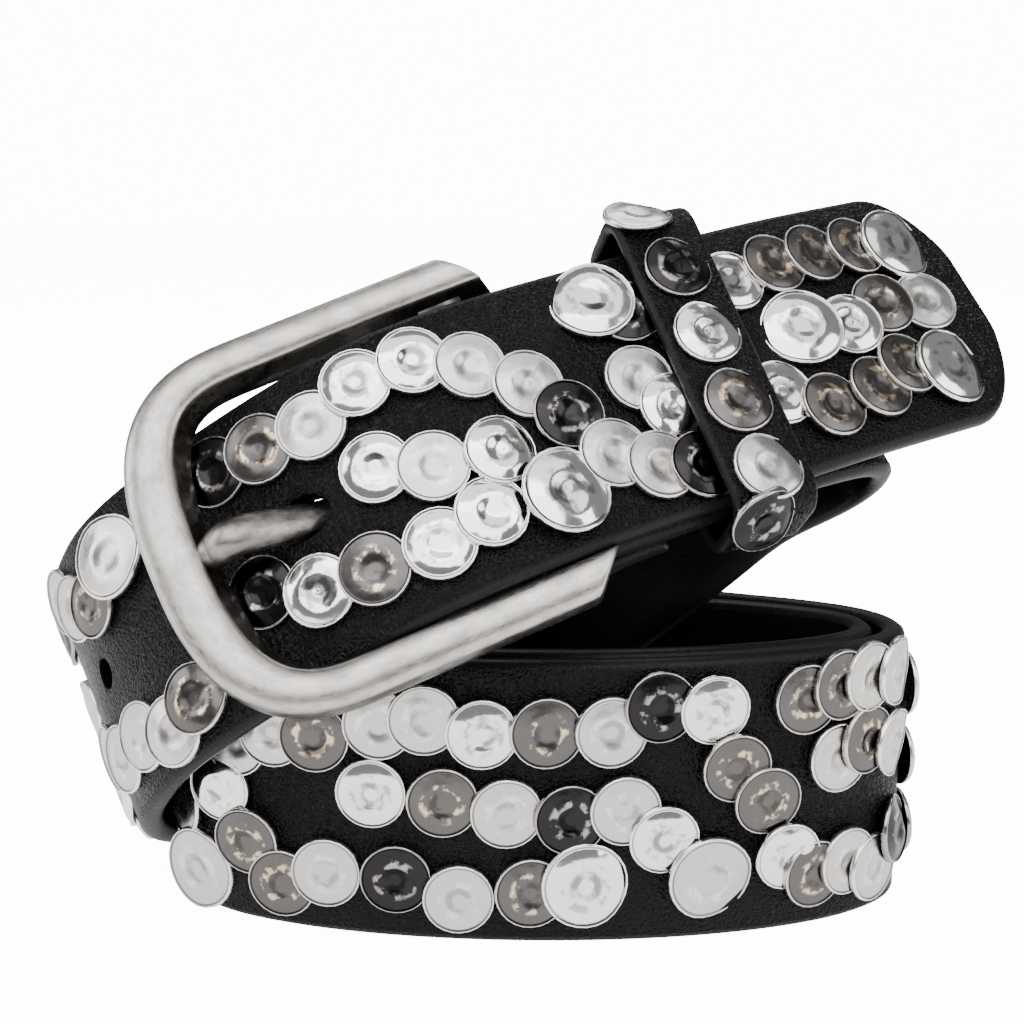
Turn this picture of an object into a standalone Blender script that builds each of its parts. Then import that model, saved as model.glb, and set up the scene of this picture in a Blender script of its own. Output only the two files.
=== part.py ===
"""Studded leather belt, buckled and coiled: a ring on its edge with a second loop leaning on it.

The strap is one ribbon swept along a route worked out from the coil's sizes, with the studs of
its finished face joined to it. The buckle frame, its prong and the keeper are separate pieces.
Metres, +Z up, seen from the front along +Y. The origin is the middle of the footprint.
"""
import math

import bmesh
import bpy
import numpy as np
from mathutils import Matrix, Vector

# Strap
STRAP_WIDTH = 0.038
STRAP_THICKNESS = 0.0032
EDGE_ROUNDING = 0.0005
TIP_LENGTH = 0.0105
TIP_END_WIDTH = 0.007
CLEARANCE = 0.0003

# Coil: the ring that stands on the floor
COIL_LENGTH = 0.0974
COIL_DEPTH = 0.0362
LAYER_GAP = 0.0011

# Coil: the loop that leans on the ring, rising to the right
LOOP_RISE_DEG = 28.6
LOOP_LEAN_DEG = 30.4
LOOP_LEFT = 0.0276
LOOP_FORWARD = 0.0174
LOOP_HEIGHT = 0.0562

# Buckle
FRAME_HALF_WIDTH = 0.0232
FRAME_LENGTH = 0.049
FRAME_BOW_LENGTH = 0.0150
FRAME_BOW_POWER = 2.7
FRAME_BAR_WIDTH = 0.0078
FRAME_ARM_WIDTH = 0.0066
FRAME_THICKNESS = 0.0048
FRAME_TILT_DEG = 15.1
FRAME_SHIFT = 0.0003
ARM_END_SLANT = 0.9
CROSS_BAR_RADIUS = 0.0020
LUG_RADIUS = 0.0029
LUG_WIDTH = 0.0042

# Prong
PRONG_WIDTH = 0.0050
PRONG_THICKNESS = 0.0036
PRONG_EYE_RADIUS = 0.0041
PRONG_CLEARANCE = 0.00035
PRONG_SHIFT = 0.0004

# Holes for the prong
HOLE_WIDTH = 0.0060
HOLE_LENGTH = 0.0112
SPARE_HOLE_RADIUS = 0.0021
HOLE_SPACING = 0.0205

# Keeper
KEEPER_WIDTH = 0.0116
KEEPER_THICKNESS = 0.0019
KEEPER_SLACK = 0.0026
KEEPER_FRONT_GAP = 0.0014
KEEPER_BACK_GAP = 0.0008
KEEPER_SKEW_DEG = -5.0

# Studs
STUD_RADIUS = 0.0047
LARGE_STUD_RADIUS = 0.0058
STUD_RIM = 0.0009
STUD_CROWN = 0.0015
STUD_ROOT = 0.0007
STUD_SIDES = 10

# The sweep
SECTION_TURN_DEG = 13.0
SECTION_STEP = 0.0080
SAMPLE_STEP = 0.001
TWIST_SMOOTHING = 0.005

# Loop's inner end, under its front: along (share of coil length), back (share of coil depth)
INNER_END = (
    (0.328, 0.215), (0.426, 0.354), (0.524, 0.494), (0.585, 0.597),
    (0.640, 0.713), (0.677, 0.840), (0.684, 0.961), (0.659, 1.072),
)

# Inner end going down behind to the ring: along, back (same shares), height (share of strap
# width), lean (share of the loop's lean)
DESCENT = (
    (0.272, 0.497, 1.621, 0.85), (0.185, 0.387, 1.489, 0.68), (0.036, 0.260, 1.226, 0.40),
    (-0.113, 0.182, 0.950, 0.15), (-0.205, 0.127, 0.771, 0.03), (-0.277, 0.083, 0.653, 0.00),
    (-0.322, 0.033, 0.587, 0.00), (-0.339, -0.055, 0.550, 0.00), (-0.320, -0.146, 0.524, 0.00),
    (-0.270, -0.232, 0.507, 0.00),
)

# Ring's outer end going up behind and round the left turn to the loop, in the same columns
ASCENT = (
    (0.072, 0.575, 0.511, 0.05), (-0.154, 0.638, 0.508, 0.20), (-0.349, 0.680, 0.495, 0.50),
    (-0.441, 0.669, 0.482, 0.72), (-0.513, 0.602, 0.474, 0.90), (-0.569, 0.486, 0.468, 1.00),
    (-0.600, 0.365, 0.500, 1.00), (-0.611, 0.232, 0.571, 1.00), (-0.609, 0.094, 0.658, 1.00),
    (-0.598, -0.017, 0.745, 1.00), (-0.578, -0.116, 0.834, 1.00), (-0.546, -0.224, 0.950, 1.00),
)

# Loop's front from the left turn to the tip, in the columns of the inner end
FRONT = (
    (-0.242, 0.169), (-0.137, 0.090), (-0.028, 0.040), (0.083, 0.020),
    (0.193, 0.066), (0.297, 0.177), (0.446, 0.381), (0.593, 0.591),
    (0.736, 0.829), (0.874, 1.086), (0.927, 1.174),
)

# Turns of the ring in degrees, counted so that 720 is the outer layer's right end
RING_FIRST_TURN = 240
RING_LAST_TURN = 775
RING_TURN_STEP = 19
OUTER_TURN = 720

# Strap fold round the cross bar
RETURN_LENGTH = 0.013
FOLD_TO_INNER_END = 0.0075
FOLD_STEPS = 8

# Stud runs: (behind the tip, across) as shares of the strap's width, each run from left to right
STUD_RUNS = {
    "front_arc": (
        (2.90, 0.32), (2.73, 0.29), (2.52, 0.27), (2.33, 0.33),
        (2.17, 0.32), (1.99, 0.24), (1.86, 0.11), (1.76, -0.04),
        (1.68, -0.22), (1.55, -0.31), (1.45, -0.36),
    ),
    "front_middle": (
        (2.40, 0.03), (2.23, -0.05), (2.02, -0.08),
    ),
    "front_lower": (
        (2.90, -0.14), (2.73, -0.24), (2.52, -0.27), (2.31, -0.30),
        (2.12, -0.27),
    ),
    "front_upper": (
        (1.42, 0.26), (1.50, 0.01), (1.42, -0.13),
    ),
    "tip_upper": (
        (0.96, 0.26), (0.80, 0.28), (0.59, 0.29), (0.42, 0.28),
    ),
    "tip_middle": (
        (0.62, -0.03), (0.43, 0.03), (0.29, -0.00),
    ),
    "tip_lower": (
        (1.02, -0.20), (0.86, -0.30), (0.65, -0.28), (0.49, -0.23),
    ),
    "curl_upper": (
        (3.52, 0.21), (3.63, 0.25), (3.71, 0.32),
    ),
    "curl_lower": (
        (3.26, -0.32), (3.42, -0.37), (3.55, -0.31), (3.69, -0.33),
        (3.84, -0.29),
    ),
    "ring_wave": (
        (9.88, 0.17), (9.75, 0.22), (9.60, 0.22), (9.40, 0.28),
        (9.22, 0.30), (9.04, 0.26), (8.82, 0.27), (8.64, 0.27),
        (8.48, 0.35), (8.29, 0.33), (8.22, 0.12), (8.08, -0.00),
        (8.04, -0.21), (7.91, -0.29), (7.77, -0.27), (7.63, -0.35),
    ),
    "ring_middle": (
        (9.44, 0.03), (9.20, 0.02), (8.98, -0.02), (8.78, -0.04),
        (8.58, -0.01), (8.44, -0.12),
    ),
    "ring_lower": (
        (9.96, -0.01), (9.88, -0.19), (9.75, -0.33), (9.56, -0.27),
        (9.36, -0.27), (9.14, -0.33), (8.90, -0.30),
    ),
    "ring_end_upper": (
        (7.98, 0.34), (7.85, 0.38), (7.71, 0.41),
    ),
    "ring_end_middle": (
        (7.85, 0.12), (7.72, 0.17), (7.60, 0.11),
    ),
}
LARGE_STUDS = (
    (1.92, -0.30), (1.53, 0.33), (0.23, 0.25), (0.80, 0.01), (0.31, -0.28),
    (3.40, 0.29), (10.10, -0.35), (8.29, -0.27), (8.70, -0.27),
)

# Plain rows on the stretch behind: first and last stud behind the tip, across, in the same shares
BACK_ROWS = ((7.35, 4.15, 0.28), (7.35, 4.15, -0.28))
BACK_SPACING = 0.30

# Keeper's middle behind the tip, as a share of the strap's width
KEEPER_PLACE = 1.215

# Keeper studs: across (share of half the strap's width), along (share of the keeper's width) and
# degrees that the stud is turned over the band's end
KEEPER_STUDS = (
    (1.0, -0.20, 44), (0.66, 0.0, 0), (0.12, 0.0, 0), (-0.42, 0.0, 0), (-0.93, 0.0, 0),
    (-1.0, -0.20, 66),
)

BLACK_LEATHER = (0.012, 0.012, 0.013, 1.0)
ANTIQUE_SILVER = (0.50, 0.48, 0.45, 1.0)


def clear_scene():
    for item in list(bpy.data.objects):
        bpy.data.objects.remove(item, do_unlink=True)


def new_collection(name):
    collection = bpy.data.collections.new(name)
    bpy.context.scene.collection.children.link(collection)
    return collection


def new_material(name, colour, roughness, metallic):
    material = bpy.data.materials.new(name)
    material.use_nodes = True
    shader = material.node_tree.nodes["Principled BSDF"]
    shader.inputs["Base Color"].default_value = colour
    shader.inputs["Roughness"].default_value = roughness
    shader.inputs["Metallic"].default_value = metallic
    return material


def new_object(name, points, faces, collection, material=None):
    mesh = bpy.data.meshes.new(name)
    mesh.from_pydata([tuple(point) for point in points], [], faces)
    body = bpy.data.objects.new(name, mesh)
    collection.objects.link(body)
    if material:
        mesh.materials.append(material)
    return body


def face_outwards(body):
    mesh = bmesh.new()
    mesh.from_mesh(body.data)
    bmesh.ops.recalc_face_normals(mesh, faces=mesh.faces)
    mesh.to_mesh(body.data)
    mesh.free()


def unit(vectors):
    return vectors / np.linalg.norm(vectors, axis=-1, keepdims=True)


def spline(points, fractions):
    """Natural cubic through points, spaced by chord, read at fractions of its chord length."""
    knots = np.r_[0, np.cumsum(np.linalg.norm(np.diff(points, axis=0), axis=1))]
    gaps = np.diff(knots)
    count = len(points)
    matrix = np.eye(count)
    right = np.zeros_like(points)
    for i in range(1, count - 1):
        matrix[i, i - 1:i + 2] = gaps[i - 1], 2 * (gaps[i - 1] + gaps[i]), gaps[i]
        slopes = (points[i + 1] - points[i]) / gaps[i] - (points[i] - points[i - 1]) / gaps[i - 1]
        right[i] = 6 * slopes
    bends = np.linalg.solve(matrix, right)
    places = np.clip(fractions, 0, 1) * knots[-1]
    spans = np.clip(np.searchsorted(knots, places, side="right") - 1, 0, count - 2)
    before = (knots[spans + 1] - places)[:, None]
    after = (places - knots[spans])[:, None]
    gap = gaps[spans][:, None]
    return (
        bends[spans] * before**3 / (6 * gap) + bends[spans + 1] * after**3 / (6 * gap)
        + (points[spans] / gap - bends[spans] * gap / 6) * before
        + (points[spans + 1] / gap - bends[spans + 1] * gap / 6) * after
    )


def resample(points, step):
    distance = np.r_[0, np.cumsum(np.linalg.norm(np.diff(points, axis=0), axis=1))]
    count = int(distance[-1] / step)
    even = np.linspace(0, distance[-1], count)
    return even, np.stack([np.interp(even, distance, points[:, axis]) for axis in range(3)], 1)


class LoopPlane:
    """The leaning loop's own directions: along it, across its strap, and back through it."""

    def __init__(self):
        rise = math.radians(LOOP_RISE_DEG)
        lean = math.radians(LOOP_LEAN_DEG)
        self.along = np.array([math.cos(rise), 0, math.sin(rise)])
        self.across = np.array([
            -math.sin(rise) * math.cos(lean), math.sin(lean), math.cos(rise) * math.cos(lean),
        ])
        self.back = np.cross(self.across, self.along)
        self.start = np.array([-LOOP_LEFT, -LOOP_FORWARD, LOOP_HEIGHT])

    def point(self, along, back, across=0.0):
        return self.start + along * self.along + back * self.back + across * self.across


LOOP = LoopPlane()
LAYER_PITCH = STRAP_THICKNESS + LAYER_GAP


def front_slope():
    """Direction of the loop's front where it passes the cross bar and the keeper."""
    first, last = FRONT[5], FRONT[7]
    along = (last[0] - first[0]) * COIL_LENGTH
    back = (last[1] - first[1]) * COIL_DEPTH
    return math.atan2(back, along)


FRONT_ANGLE = front_slope()
BAR_FOLD_RADIUS = CROSS_BAR_RADIUS + PRONG_CLEARANCE + STRAP_THICKNESS / 2


def inner_layer(along_share, back_share):
    """A place one layer behind the loop's front."""
    along = along_share * COIL_LENGTH
    back = back_share * COIL_DEPTH + LAYER_PITCH / math.cos(FRONT_ANGLE)
    return along, back


def bar_place():
    """The cross bar's middle in the loop plane: inside the fold at the inner end's start."""
    along, back = inner_layer(*INNER_END[0])
    along -= FOLD_TO_INNER_END * math.cos(FRONT_ANGLE)
    back -= FOLD_TO_INNER_END * math.sin(FRONT_ANGLE)
    return (
        along - BAR_FOLD_RADIUS * math.sin(FRONT_ANGLE),
        back + BAR_FOLD_RADIUS * math.cos(FRONT_ANGLE),
    )


BAR = bar_place()


def fold_points():
    """The strap's short end behind itself, then the bend round the cross bar."""
    points = []
    inward = np.array([-math.sin(FRONT_ANGLE), math.cos(FRONT_ANGLE)])
    forward = np.array([math.cos(FRONT_ANGLE), math.sin(FRONT_ANGLE)])
    middle = np.array(BAR)
    flat = LAYER_PITCH + CLEARANCE
    for reach, offset in ((1.0, flat), (0.72, flat), (0.48, flat * 1.15), (0.24, BAR_FOLD_RADIUS * 1.85)):
        place = middle + forward * (reach * RETURN_LENGTH + 0.002) + inward * (offset - BAR_FOLD_RADIUS)
        points.append(LOOP.point(*place))
    for step in range(FOLD_STEPS + 1):
        angle = math.pi * step / FOLD_STEPS
        place = middle + BAR_FOLD_RADIUS * (inward * math.cos(angle) - forward * math.sin(angle))
        points.append(LOOP.point(*place))
    return points


def ring_point(turn_deg):
    layer = (turn_deg - OUTER_TURN) / 360
    turn = math.radians(turn_deg)
    return np.array([
        (COIL_LENGTH / 2 + layer * LAYER_PITCH) * math.cos(turn),
        (COIL_DEPTH / 2 + layer * LAYER_PITCH) * math.sin(turn),
        STRAP_WIDTH / 2,
    ])


def plan_point(along, back, height):
    return np.array([along * COIL_LENGTH, back * COIL_DEPTH, height * STRAP_WIDTH])


def front_point(along, back):
    return LOOP.point(along * COIL_LENGTH, back * COIL_DEPTH)


def route_stations():
    """Every station of the strap's middle, with its share of the loop's lean."""
    stations = [(point, 1.0) for point in fold_points()]
    stations += [(LOOP.point(*inner_layer(*row)), 1.0) for row in INNER_END]
    stations += [(plan_point(*row[:3]), row[3]) for row in DESCENT]
    turns = range(RING_FIRST_TURN, RING_LAST_TURN, RING_TURN_STEP)
    stations += [(ring_point(turn), 0.0) for turn in turns]
    stations += [(plan_point(*row[:3]), row[3]) for row in ASCENT]
    stations += [(front_point(*row), 1.0) for row in FRONT]
    return stations


def smoothed(rows, reach):
    """Rows averaged with their neighbours, weighted by a bell of the given reach in samples."""
    offsets = np.arange(-int(3 * reach), int(3 * reach) + 1)
    weights = np.exp(-0.5 * (offsets / reach) ** 2)
    padded = np.pad(rows, ((len(offsets) // 2, len(offsets) // 2), (0, 0)), mode="edge")
    columns = [np.convolve(padded[:, axis], weights / weights.sum(), "valid") for axis in range(3)]
    return np.stack(columns, 1)


class Route:
    """The strap's middle line with its directions: along, across and out of the finished face."""

    def __init__(self):
        stations = route_stations()
        places = np.array([place for place, lean in stations])
        leans = np.array([lean for place, lean in stations])
        fine = spline(places, np.linspace(0, 1, 6000))
        chords = np.r_[0, np.cumsum(np.linalg.norm(np.diff(places, axis=0), axis=1))]
        self.distance, self.middle = resample(fine, SAMPLE_STEP)
        lean = np.interp(self.distance / self.distance[-1], chords / chords[-1], leans)[:, None]
        self.along = unit(np.gradient(self.middle, axis=0))
        across = self.square((1 - lean) * np.array([0.0, 0.0, 1.0]) + lean * LOOP.across)
        across = smoothed(across, TWIST_SMOOTHING / SAMPLE_STEP)
        self.across = self.square(across)
        self.out = np.cross(self.along, self.across)
        self.length = self.distance[-1]

    def square(self, across):
        """Width directions made square to the route."""
        leak = (across * self.along).sum(1)[:, None]
        return unit(across - leak * self.along)

    def read(self, rows, at):
        return np.array([np.interp(at, self.distance, rows[:, axis]) for axis in range(3)])

    def point(self, at, across=0.0, out=0.0):
        """A point of the strap: distance along it, across from its middle, out from its middle."""
        place = self.read(self.middle, at)
        return place + unit(self.read(self.across, at)) * across + unit(self.read(self.out, at)) * out

    def axes(self, at):
        """A frame on the strap: X along it, Y across it, Z out of its finished face."""
        along = unit(self.read(self.along, at))
        out = unit(self.read(self.out, at))
        across = np.cross(out, along)
        frame = Matrix((along, across, out)).transposed().to_4x4()
        frame.translation = Vector(self.read(self.middle, at))
        return frame

    def sections(self):
        """Distances of the sweep's sections, closer together where the strap bends."""
        turning = np.linalg.norm(np.gradient(self.along, axis=0), axis=1)
        share = turning / math.radians(SECTION_TURN_DEG) + SAMPLE_STEP / SECTION_STEP
        total = np.r_[0, np.cumsum(share[1:])]
        count = int(total[-1]) + 2
        last = self.length - TIP_LENGTH
        stops = np.interp(np.linspace(0, total[-1], count), total, self.distance)
        body = [stop for stop in stops if stop < last - SAMPLE_STEP]
        rounds = [last + TIP_LENGTH * math.sin(math.radians(angle)) for angle in (0, 20, 38, 54, 66)]
        return body + rounds + [self.length]

    def half_width(self, at):
        """Half the strap's width, less where its end is rounded."""
        past = (at - (self.length - TIP_LENGTH)) / TIP_LENGTH
        if past <= 0:
            return STRAP_WIDTH / 2
        return max(STRAP_WIDTH / 2 * math.sqrt(max(0, 1 - past**2)), TIP_END_WIDTH / 2)

    def behind_tip(self, share):
        return self.length - share * STRAP_WIDTH


def add_solidify(body, thickness):
    modifier = body.modifiers.new("wall", "SOLIDIFY")
    modifier.thickness = thickness
    modifier.offset = 0
    modifier.use_even_offset = True


def add_bevel(body, width):
    modifier = body.modifiers.new("rounded_edges", "BEVEL")
    modifier.width = width
    modifier.segments = 1
    modifier.limit_method = "ANGLE"
    modifier.angle_limit = math.radians(60)


def add_boolean(body, cutter, operation, crossing=False):
    modifier = body.modifiers.new(cutter.name, "BOOLEAN")
    modifier.operation = operation
    modifier.object = cutter
    modifier.solver = "EXACT"
    modifier.use_self = crossing
    cutter.hide_render = True
    cutter.display_type = "WIRE"


def cylinder(name, radius, length, frame, collection, sides=16, stretch=1.0):
    """A closed cylinder along the frame's Z, stretched along its X."""
    mesh = bmesh.new()
    bmesh.ops.create_cone(
        mesh, cap_ends=True, segments=sides, radius1=radius, radius2=radius, depth=length,
        matrix=frame @ Matrix.Diagonal((stretch, 1, 1, 1)),
    )
    data = bpy.data.meshes.new(name)
    mesh.to_mesh(data)
    mesh.free()
    body = bpy.data.objects.new(name, data)
    collection.objects.link(body)
    return body


def box(name, size, frame, collection):
    mesh = bmesh.new()
    bmesh.ops.create_cube(mesh, size=1, matrix=frame @ Matrix.Diagonal((*size, 1)))
    data = bpy.data.meshes.new(name)
    mesh.to_mesh(data)
    mesh.free()
    body = bpy.data.objects.new(name, data)
    collection.objects.link(body)
    return body


def loft(name, sections, collection, material=None, closed=False):
    """A skin over sections of equal counts, capped at both ends unless the sweep is closed."""
    count = len(sections[0])
    points = [point for section in sections for point in section]
    faces = []
    spans = len(sections) if closed else len(sections) - 1
    for i in range(spans):
        near = i * count
        far = (i + 1) % len(sections) * count
        for j in range(count):
            k = (j + 1) % count
            faces.append((near + j, near + k, far + k, far + j))
    if not closed:
        faces.append(tuple(range(count)))
        faces.append(tuple(range(len(points) - count, len(points))))
    body = new_object(name, points, faces, collection, material)
    face_outwards(body)
    return body


def stud_mesh(surface, radius, tilt, phase):
    """Points and faces of one domed stud: its root under the leather, its rim and its crown."""
    points = []
    for height, lift in ((-STUD_ROOT, 0.0), (STUD_RIM, tilt)):
        for side in range(STUD_SIDES):
            angle = 2 * math.pi * (side + phase) / STUD_SIDES
            along = radius * math.cos(angle)
            points.append(surface(along, radius * math.sin(angle), height + lift * along / radius))
    points.append(surface(0, 0, STUD_CROWN))
    rim = STUD_SIDES
    crown = 2 * STUD_SIDES
    faces = [tuple(reversed(range(STUD_SIDES)))]
    for side in range(STUD_SIDES):
        other = (side + 1) % STUD_SIDES
        faces.append((side, other, rim + other, rim + side))
        faces.append((rim + side, rim + other, crown))
    return points, faces


def stud_layers(studs):
    """The studs sorted so that none overlaps another of its own layer."""
    layers = []
    for stud in studs:
        surface, radius, tilt = stud
        middle = surface(0, 0, 0)
        for layer in layers:
            if all(np.linalg.norm(middle - other) > radius + reach for other, reach, item in layer):
                layer.append((middle, radius, stud))
                break
        else:
            layers.append([(middle, radius, stud)])
    return [[stud for middle, radius, stud in layer] for layer in layers]


def add_studs(body, studs, collection):
    """Joins domed studs to the piece that carries them, one layer of the overlap at a time."""
    for number, layer in enumerate(stud_layers(studs), 1):
        points, faces = [], []
        for surface, radius, tilt in layer:
            stud_points, stud_faces = stud_mesh(surface, radius, tilt, 0.3 * number)
            faces += [tuple(index + len(points) for index in face) for face in stud_faces]
            points += stud_points
        tool = new_object(f"{body.name}_stud_tool_{number}", points, faces, collection)
        add_boolean(body, tool, "UNION", crossing=True)


def strap_stud(route, share, across_share):
    at = route.behind_tip(share)
    across = across_share * STRAP_WIDTH

    def surface(along, up, height):
        return route.point(at + along, across + up, STRAP_THICKNESS / 2 + height)

    return surface


def back_row(first, last, across):
    count = int(round((first - last) / BACK_SPACING)) + 1
    return [(first - i * BACK_SPACING, across) for i in range(count)]


def strap_studs(route):
    studs = []
    for run in STUD_RUNS.values():
        for i, place in enumerate(run):
            tilt = (0.00035, -0.00030)[i % 2]
            studs.append((strap_stud(route, *place), STUD_RADIUS, tilt))
    for place in LARGE_STUDS:
        studs.append((strap_stud(route, *place), LARGE_STUD_RADIUS, 0.0006))
    for row in BACK_ROWS:
        for i, place in enumerate(back_row(*row)):
            tilt = (0.00035, -0.00030)[i % 2]
            studs.append((strap_stud(route, *place), STUD_RADIUS, tilt))
    return studs


def make_strap(route, parts, cutters, material):
    points, faces = [], []
    for at in route.sections():
        half = route.half_width(at)
        points += [route.point(at, -half), route.point(at, half)]
    for i in range(len(points) // 2 - 1):
        near = 2 * i
        faces.append((near, near + 1, near + 3, near + 2))
    strap = new_object("strap", points, faces, parts, material)
    add_solidify(strap, STRAP_THICKNESS)
    add_bevel(strap, EDGE_ROUNDING)
    hole_at = prong_hole(route)
    hole = cylinder(
        "prong_hole_cut", HOLE_WIDTH / 2, 4 * STRAP_THICKNESS,
        route.axes(hole_at) @ Matrix.Translation((0, PRONG_SHIFT, 0)), cutters,
        stretch=HOLE_LENGTH / HOLE_WIDTH,
    )
    add_boolean(strap, hole, "DIFFERENCE")
    for number in (1, 2):
        spare = cylinder(
            f"spare_hole_cut_{number}", SPARE_HOLE_RADIUS, 2.4 * STRAP_THICKNESS,
            route.axes(hole_at - number * HOLE_SPACING), cutters, sides=12,
        )
        add_boolean(strap, spare, "DIFFERENCE")
    add_boolean(strap, fold_slot(cutters), "DIFFERENCE")
    add_studs(strap, strap_studs(route), cutters)
    return strap


def prong_hole(route):
    """Distance along the strap of the hole that the prong passes through."""
    target = LOOP.point(0.0020, 0.0013)
    start = np.searchsorted(route.distance, route.length - 4 * STRAP_WIDTH)
    gaps = np.linalg.norm(route.middle[start:] - target, axis=1)
    return route.distance[start + int(gaps.argmin())]


def plane_frame(along, back, across, direction):
    """A frame in the loop plane: X along the direction, Y across the strap, Z outwards."""
    forward = math.cos(direction) * LOOP.along + math.sin(direction) * LOOP.back
    outward = np.cross(forward, LOOP.across)
    frame = Matrix((forward, LOOP.across, outward)).transposed().to_4x4()
    frame.translation = Vector(LOOP.point(along, back, across))
    return frame


def fold_slot(cutters):
    """The slot in the strap's fold that the prong's eye sits in."""
    length = 2 * PRONG_EYE_RADIUS + 4 * PRONG_CLEARANCE + STRAP_THICKNESS
    frame = plane_frame(
        BAR[0] - STRAP_THICKNESS / 2 * math.cos(FRONT_ANGLE),
        BAR[1] - STRAP_THICKNESS / 2 * math.sin(FRONT_ANGLE), PRONG_SHIFT, FRONT_ANGLE,
    )
    depth = 2 * (BAR_FOLD_RADIUS + STRAP_THICKNESS)
    width = PRONG_WIDTH + 2 * 2 * PRONG_CLEARANCE
    return box("fold_slot_cut", (length, width, depth), frame, cutters)


def frame_axes():
    """The buckle frame's own axes: X from its bow to its bar, Y across, Z outwards."""
    tilt = math.radians(FRAME_TILT_DEG)
    bow_along = -0.0180
    bow_back = BAR[1] - (BAR[0] - bow_along) * math.tan(tilt) - 0.0066
    return plane_frame(bow_along, bow_back, FRAME_SHIFT, tilt)


def bow_line():
    """The frame's middle line from one arm's end round the bow to the other's: points, widths."""
    quarter = []
    for degrees in (0, 8, 16, 26, 38, 50, 62, 74, 84, 90):
        angle = math.radians(degrees)
        power = 2 / FRAME_BOW_POWER
        quarter.append((
            0.001 + FRAME_BOW_LENGTH * (1 - math.cos(angle) ** power),
            FRAME_HALF_WIDTH * math.sin(angle) ** power,
        ))
    arm = [(place, FRAME_HALF_WIDTH) for place in (0.027, 0.040, FRAME_LENGTH)]
    half = quarter + arm
    return [(u, -w) for u, w in reversed(half[1:])] + half


def frame_section(width):
    """The bar's section, across by out: flat behind, rounded in front."""
    half = width / 2
    deep = FRAME_THICKNESS / 2
    return (
        (-0.86 * half, -deep), (-half, -0.55 * deep), (-0.98 * half, 0.15 * deep),
        (-0.78 * half, 0.68 * deep), (-0.36 * half, 0.97 * deep), (0.36 * half, 0.97 * deep),
        (0.78 * half, 0.68 * deep), (0.98 * half, 0.15 * deep), (half, -0.55 * deep),
        (0.86 * half, -deep),
    )


def make_frame(parts, cutters, material):
    axes = frame_axes()
    line = np.array(bow_line())
    directions = unit(np.gradient(line, axis=0))
    directions[0], directions[-1] = (-1, 0), (1, 0)
    sections = []
    for i, (place, direction) in enumerate(zip(line, directions)):
        aside = np.array([direction[1], -direction[0]])
        arm_share = abs(place[1]) / FRAME_HALF_WIDTH
        width = FRAME_BAR_WIDTH + (FRAME_ARM_WIDTH - FRAME_BAR_WIDTH) * arm_share**3
        end = i in (0, len(line) - 1)
        section = []
        for offset, height in frame_section(width):
            spot = place + aside * offset
            outward = abs(spot[1]) - FRAME_HALF_WIDTH
            shift = -outward * ARM_END_SLANT if end else 0.0
            section.append(axes @ Vector((spot[0] + shift, spot[1], height)))
        sections.append(section)
    frame = loft("buckle_frame", sections, parts, material)
    bar_frame = plane_frame(*BAR, FRAME_SHIFT, FRONT_ANGLE) @ Matrix.Rotation(math.pi / 2, 4, "X")
    span = 2 * FRAME_HALF_WIDTH
    add_boolean(frame, cylinder("cross_bar_tool", CROSS_BAR_RADIUS, span, bar_frame, cutters, sides=12), "UNION")
    for side in (-1, 1):
        add_boolean(frame, lug(side, cutters), "UNION")
    add_boolean(frame, prong_body("prong_groove_cut", PRONG_CLEARANCE, cutters, groove=True), "DIFFERENCE")
    return frame


def lug(side, cutters):
    """The boss behind an arm's end that holds the cross bar."""
    tilt = math.radians(FRAME_TILT_DEG)
    axes = plane_frame(*BAR, FRAME_SHIFT, tilt)
    reach = 0.0062
    inner = FRAME_HALF_WIDTH - FRAME_ARM_WIDTH / 2
    rows = []
    for height, half in ((-LUG_RADIUS, 0.5), (-0.6 * LUG_RADIUS, 0.87), (0.0, 1.0), (reach, 1.0)):
        size = half * LUG_RADIUS
        rows.append([
            axes @ Vector((along * size, side * (inner + aside * LUG_WIDTH), height))
            for along, aside in ((-1, 0), (1, 0), (1, 1), (-1, 1))
        ])
    return loft(f"lug_tool_{'lower' if side < 0 else 'upper'}", rows, cutters)


def prong_line():
    """The prong's middle from the cross bar's eye, through the strap's hole, to the bow's groove."""
    bow = frame_axes()
    rest = loop_place(bow, 0.0062, 0.0010)
    tip = loop_place(bow, 0.0040, 0.0011)
    eye = (BAR[0] - 0.0029, BAR[1] - 0.0022)
    return [
        eye, (BAR[0] * 0.62, BAR[1] * 0.60), (BAR[0] * 0.34, BAR[1] * 0.395),
        (BAR[0] * 0.15, BAR[1] * 0.235), (0.0, 0.0), (-0.0045, -0.0031),
        (-0.0092, -0.0052), rest, tip,
    ]


def loop_place(axes, along, out):
    """A point of the buckle frame, as along and back in the loop plane."""
    place = np.array(axes @ Vector((along, 0, out))) - LOOP.start
    return float(place @ LOOP.along), float(place @ LOOP.back)


def prong_body(name, allowance, collection, material=None, groove=False):
    """The prong's shank, or with an allowance and no near end the groove that it lies in."""
    places = np.array([LOOP.point(*row, PRONG_SHIFT) for row in prong_line()])
    line = spline(places, np.linspace(0, 1, 17))
    sizes = [1.0] * len(line)
    sizes[-3:] = (0.94, 0.78, 0.42)
    if groove:
        line, sizes = line[-6:], [1.0] * 6
    directions = unit(np.gradient(line, axis=0))
    sections = []
    for place, direction, size in zip(line, directions, sizes):
        outward = unit(np.cross(direction, LOOP.across))
        section = []
        for side in range(12):
            angle = 2 * math.pi * side / 12
            wide = (size * PRONG_WIDTH / 2 + allowance) * math.cos(angle)
            deep = (size * PRONG_THICKNESS / 2 + allowance) * math.sin(angle)
            section.append(place + LOOP.across * wide + outward * deep)
        sections.append(section)
    if groove:
        last = unit(line[-1] - line[-2]) * allowance
        sections.append([point + last for point in sections[-1]])
    return loft(name, sections, collection, material)


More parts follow.
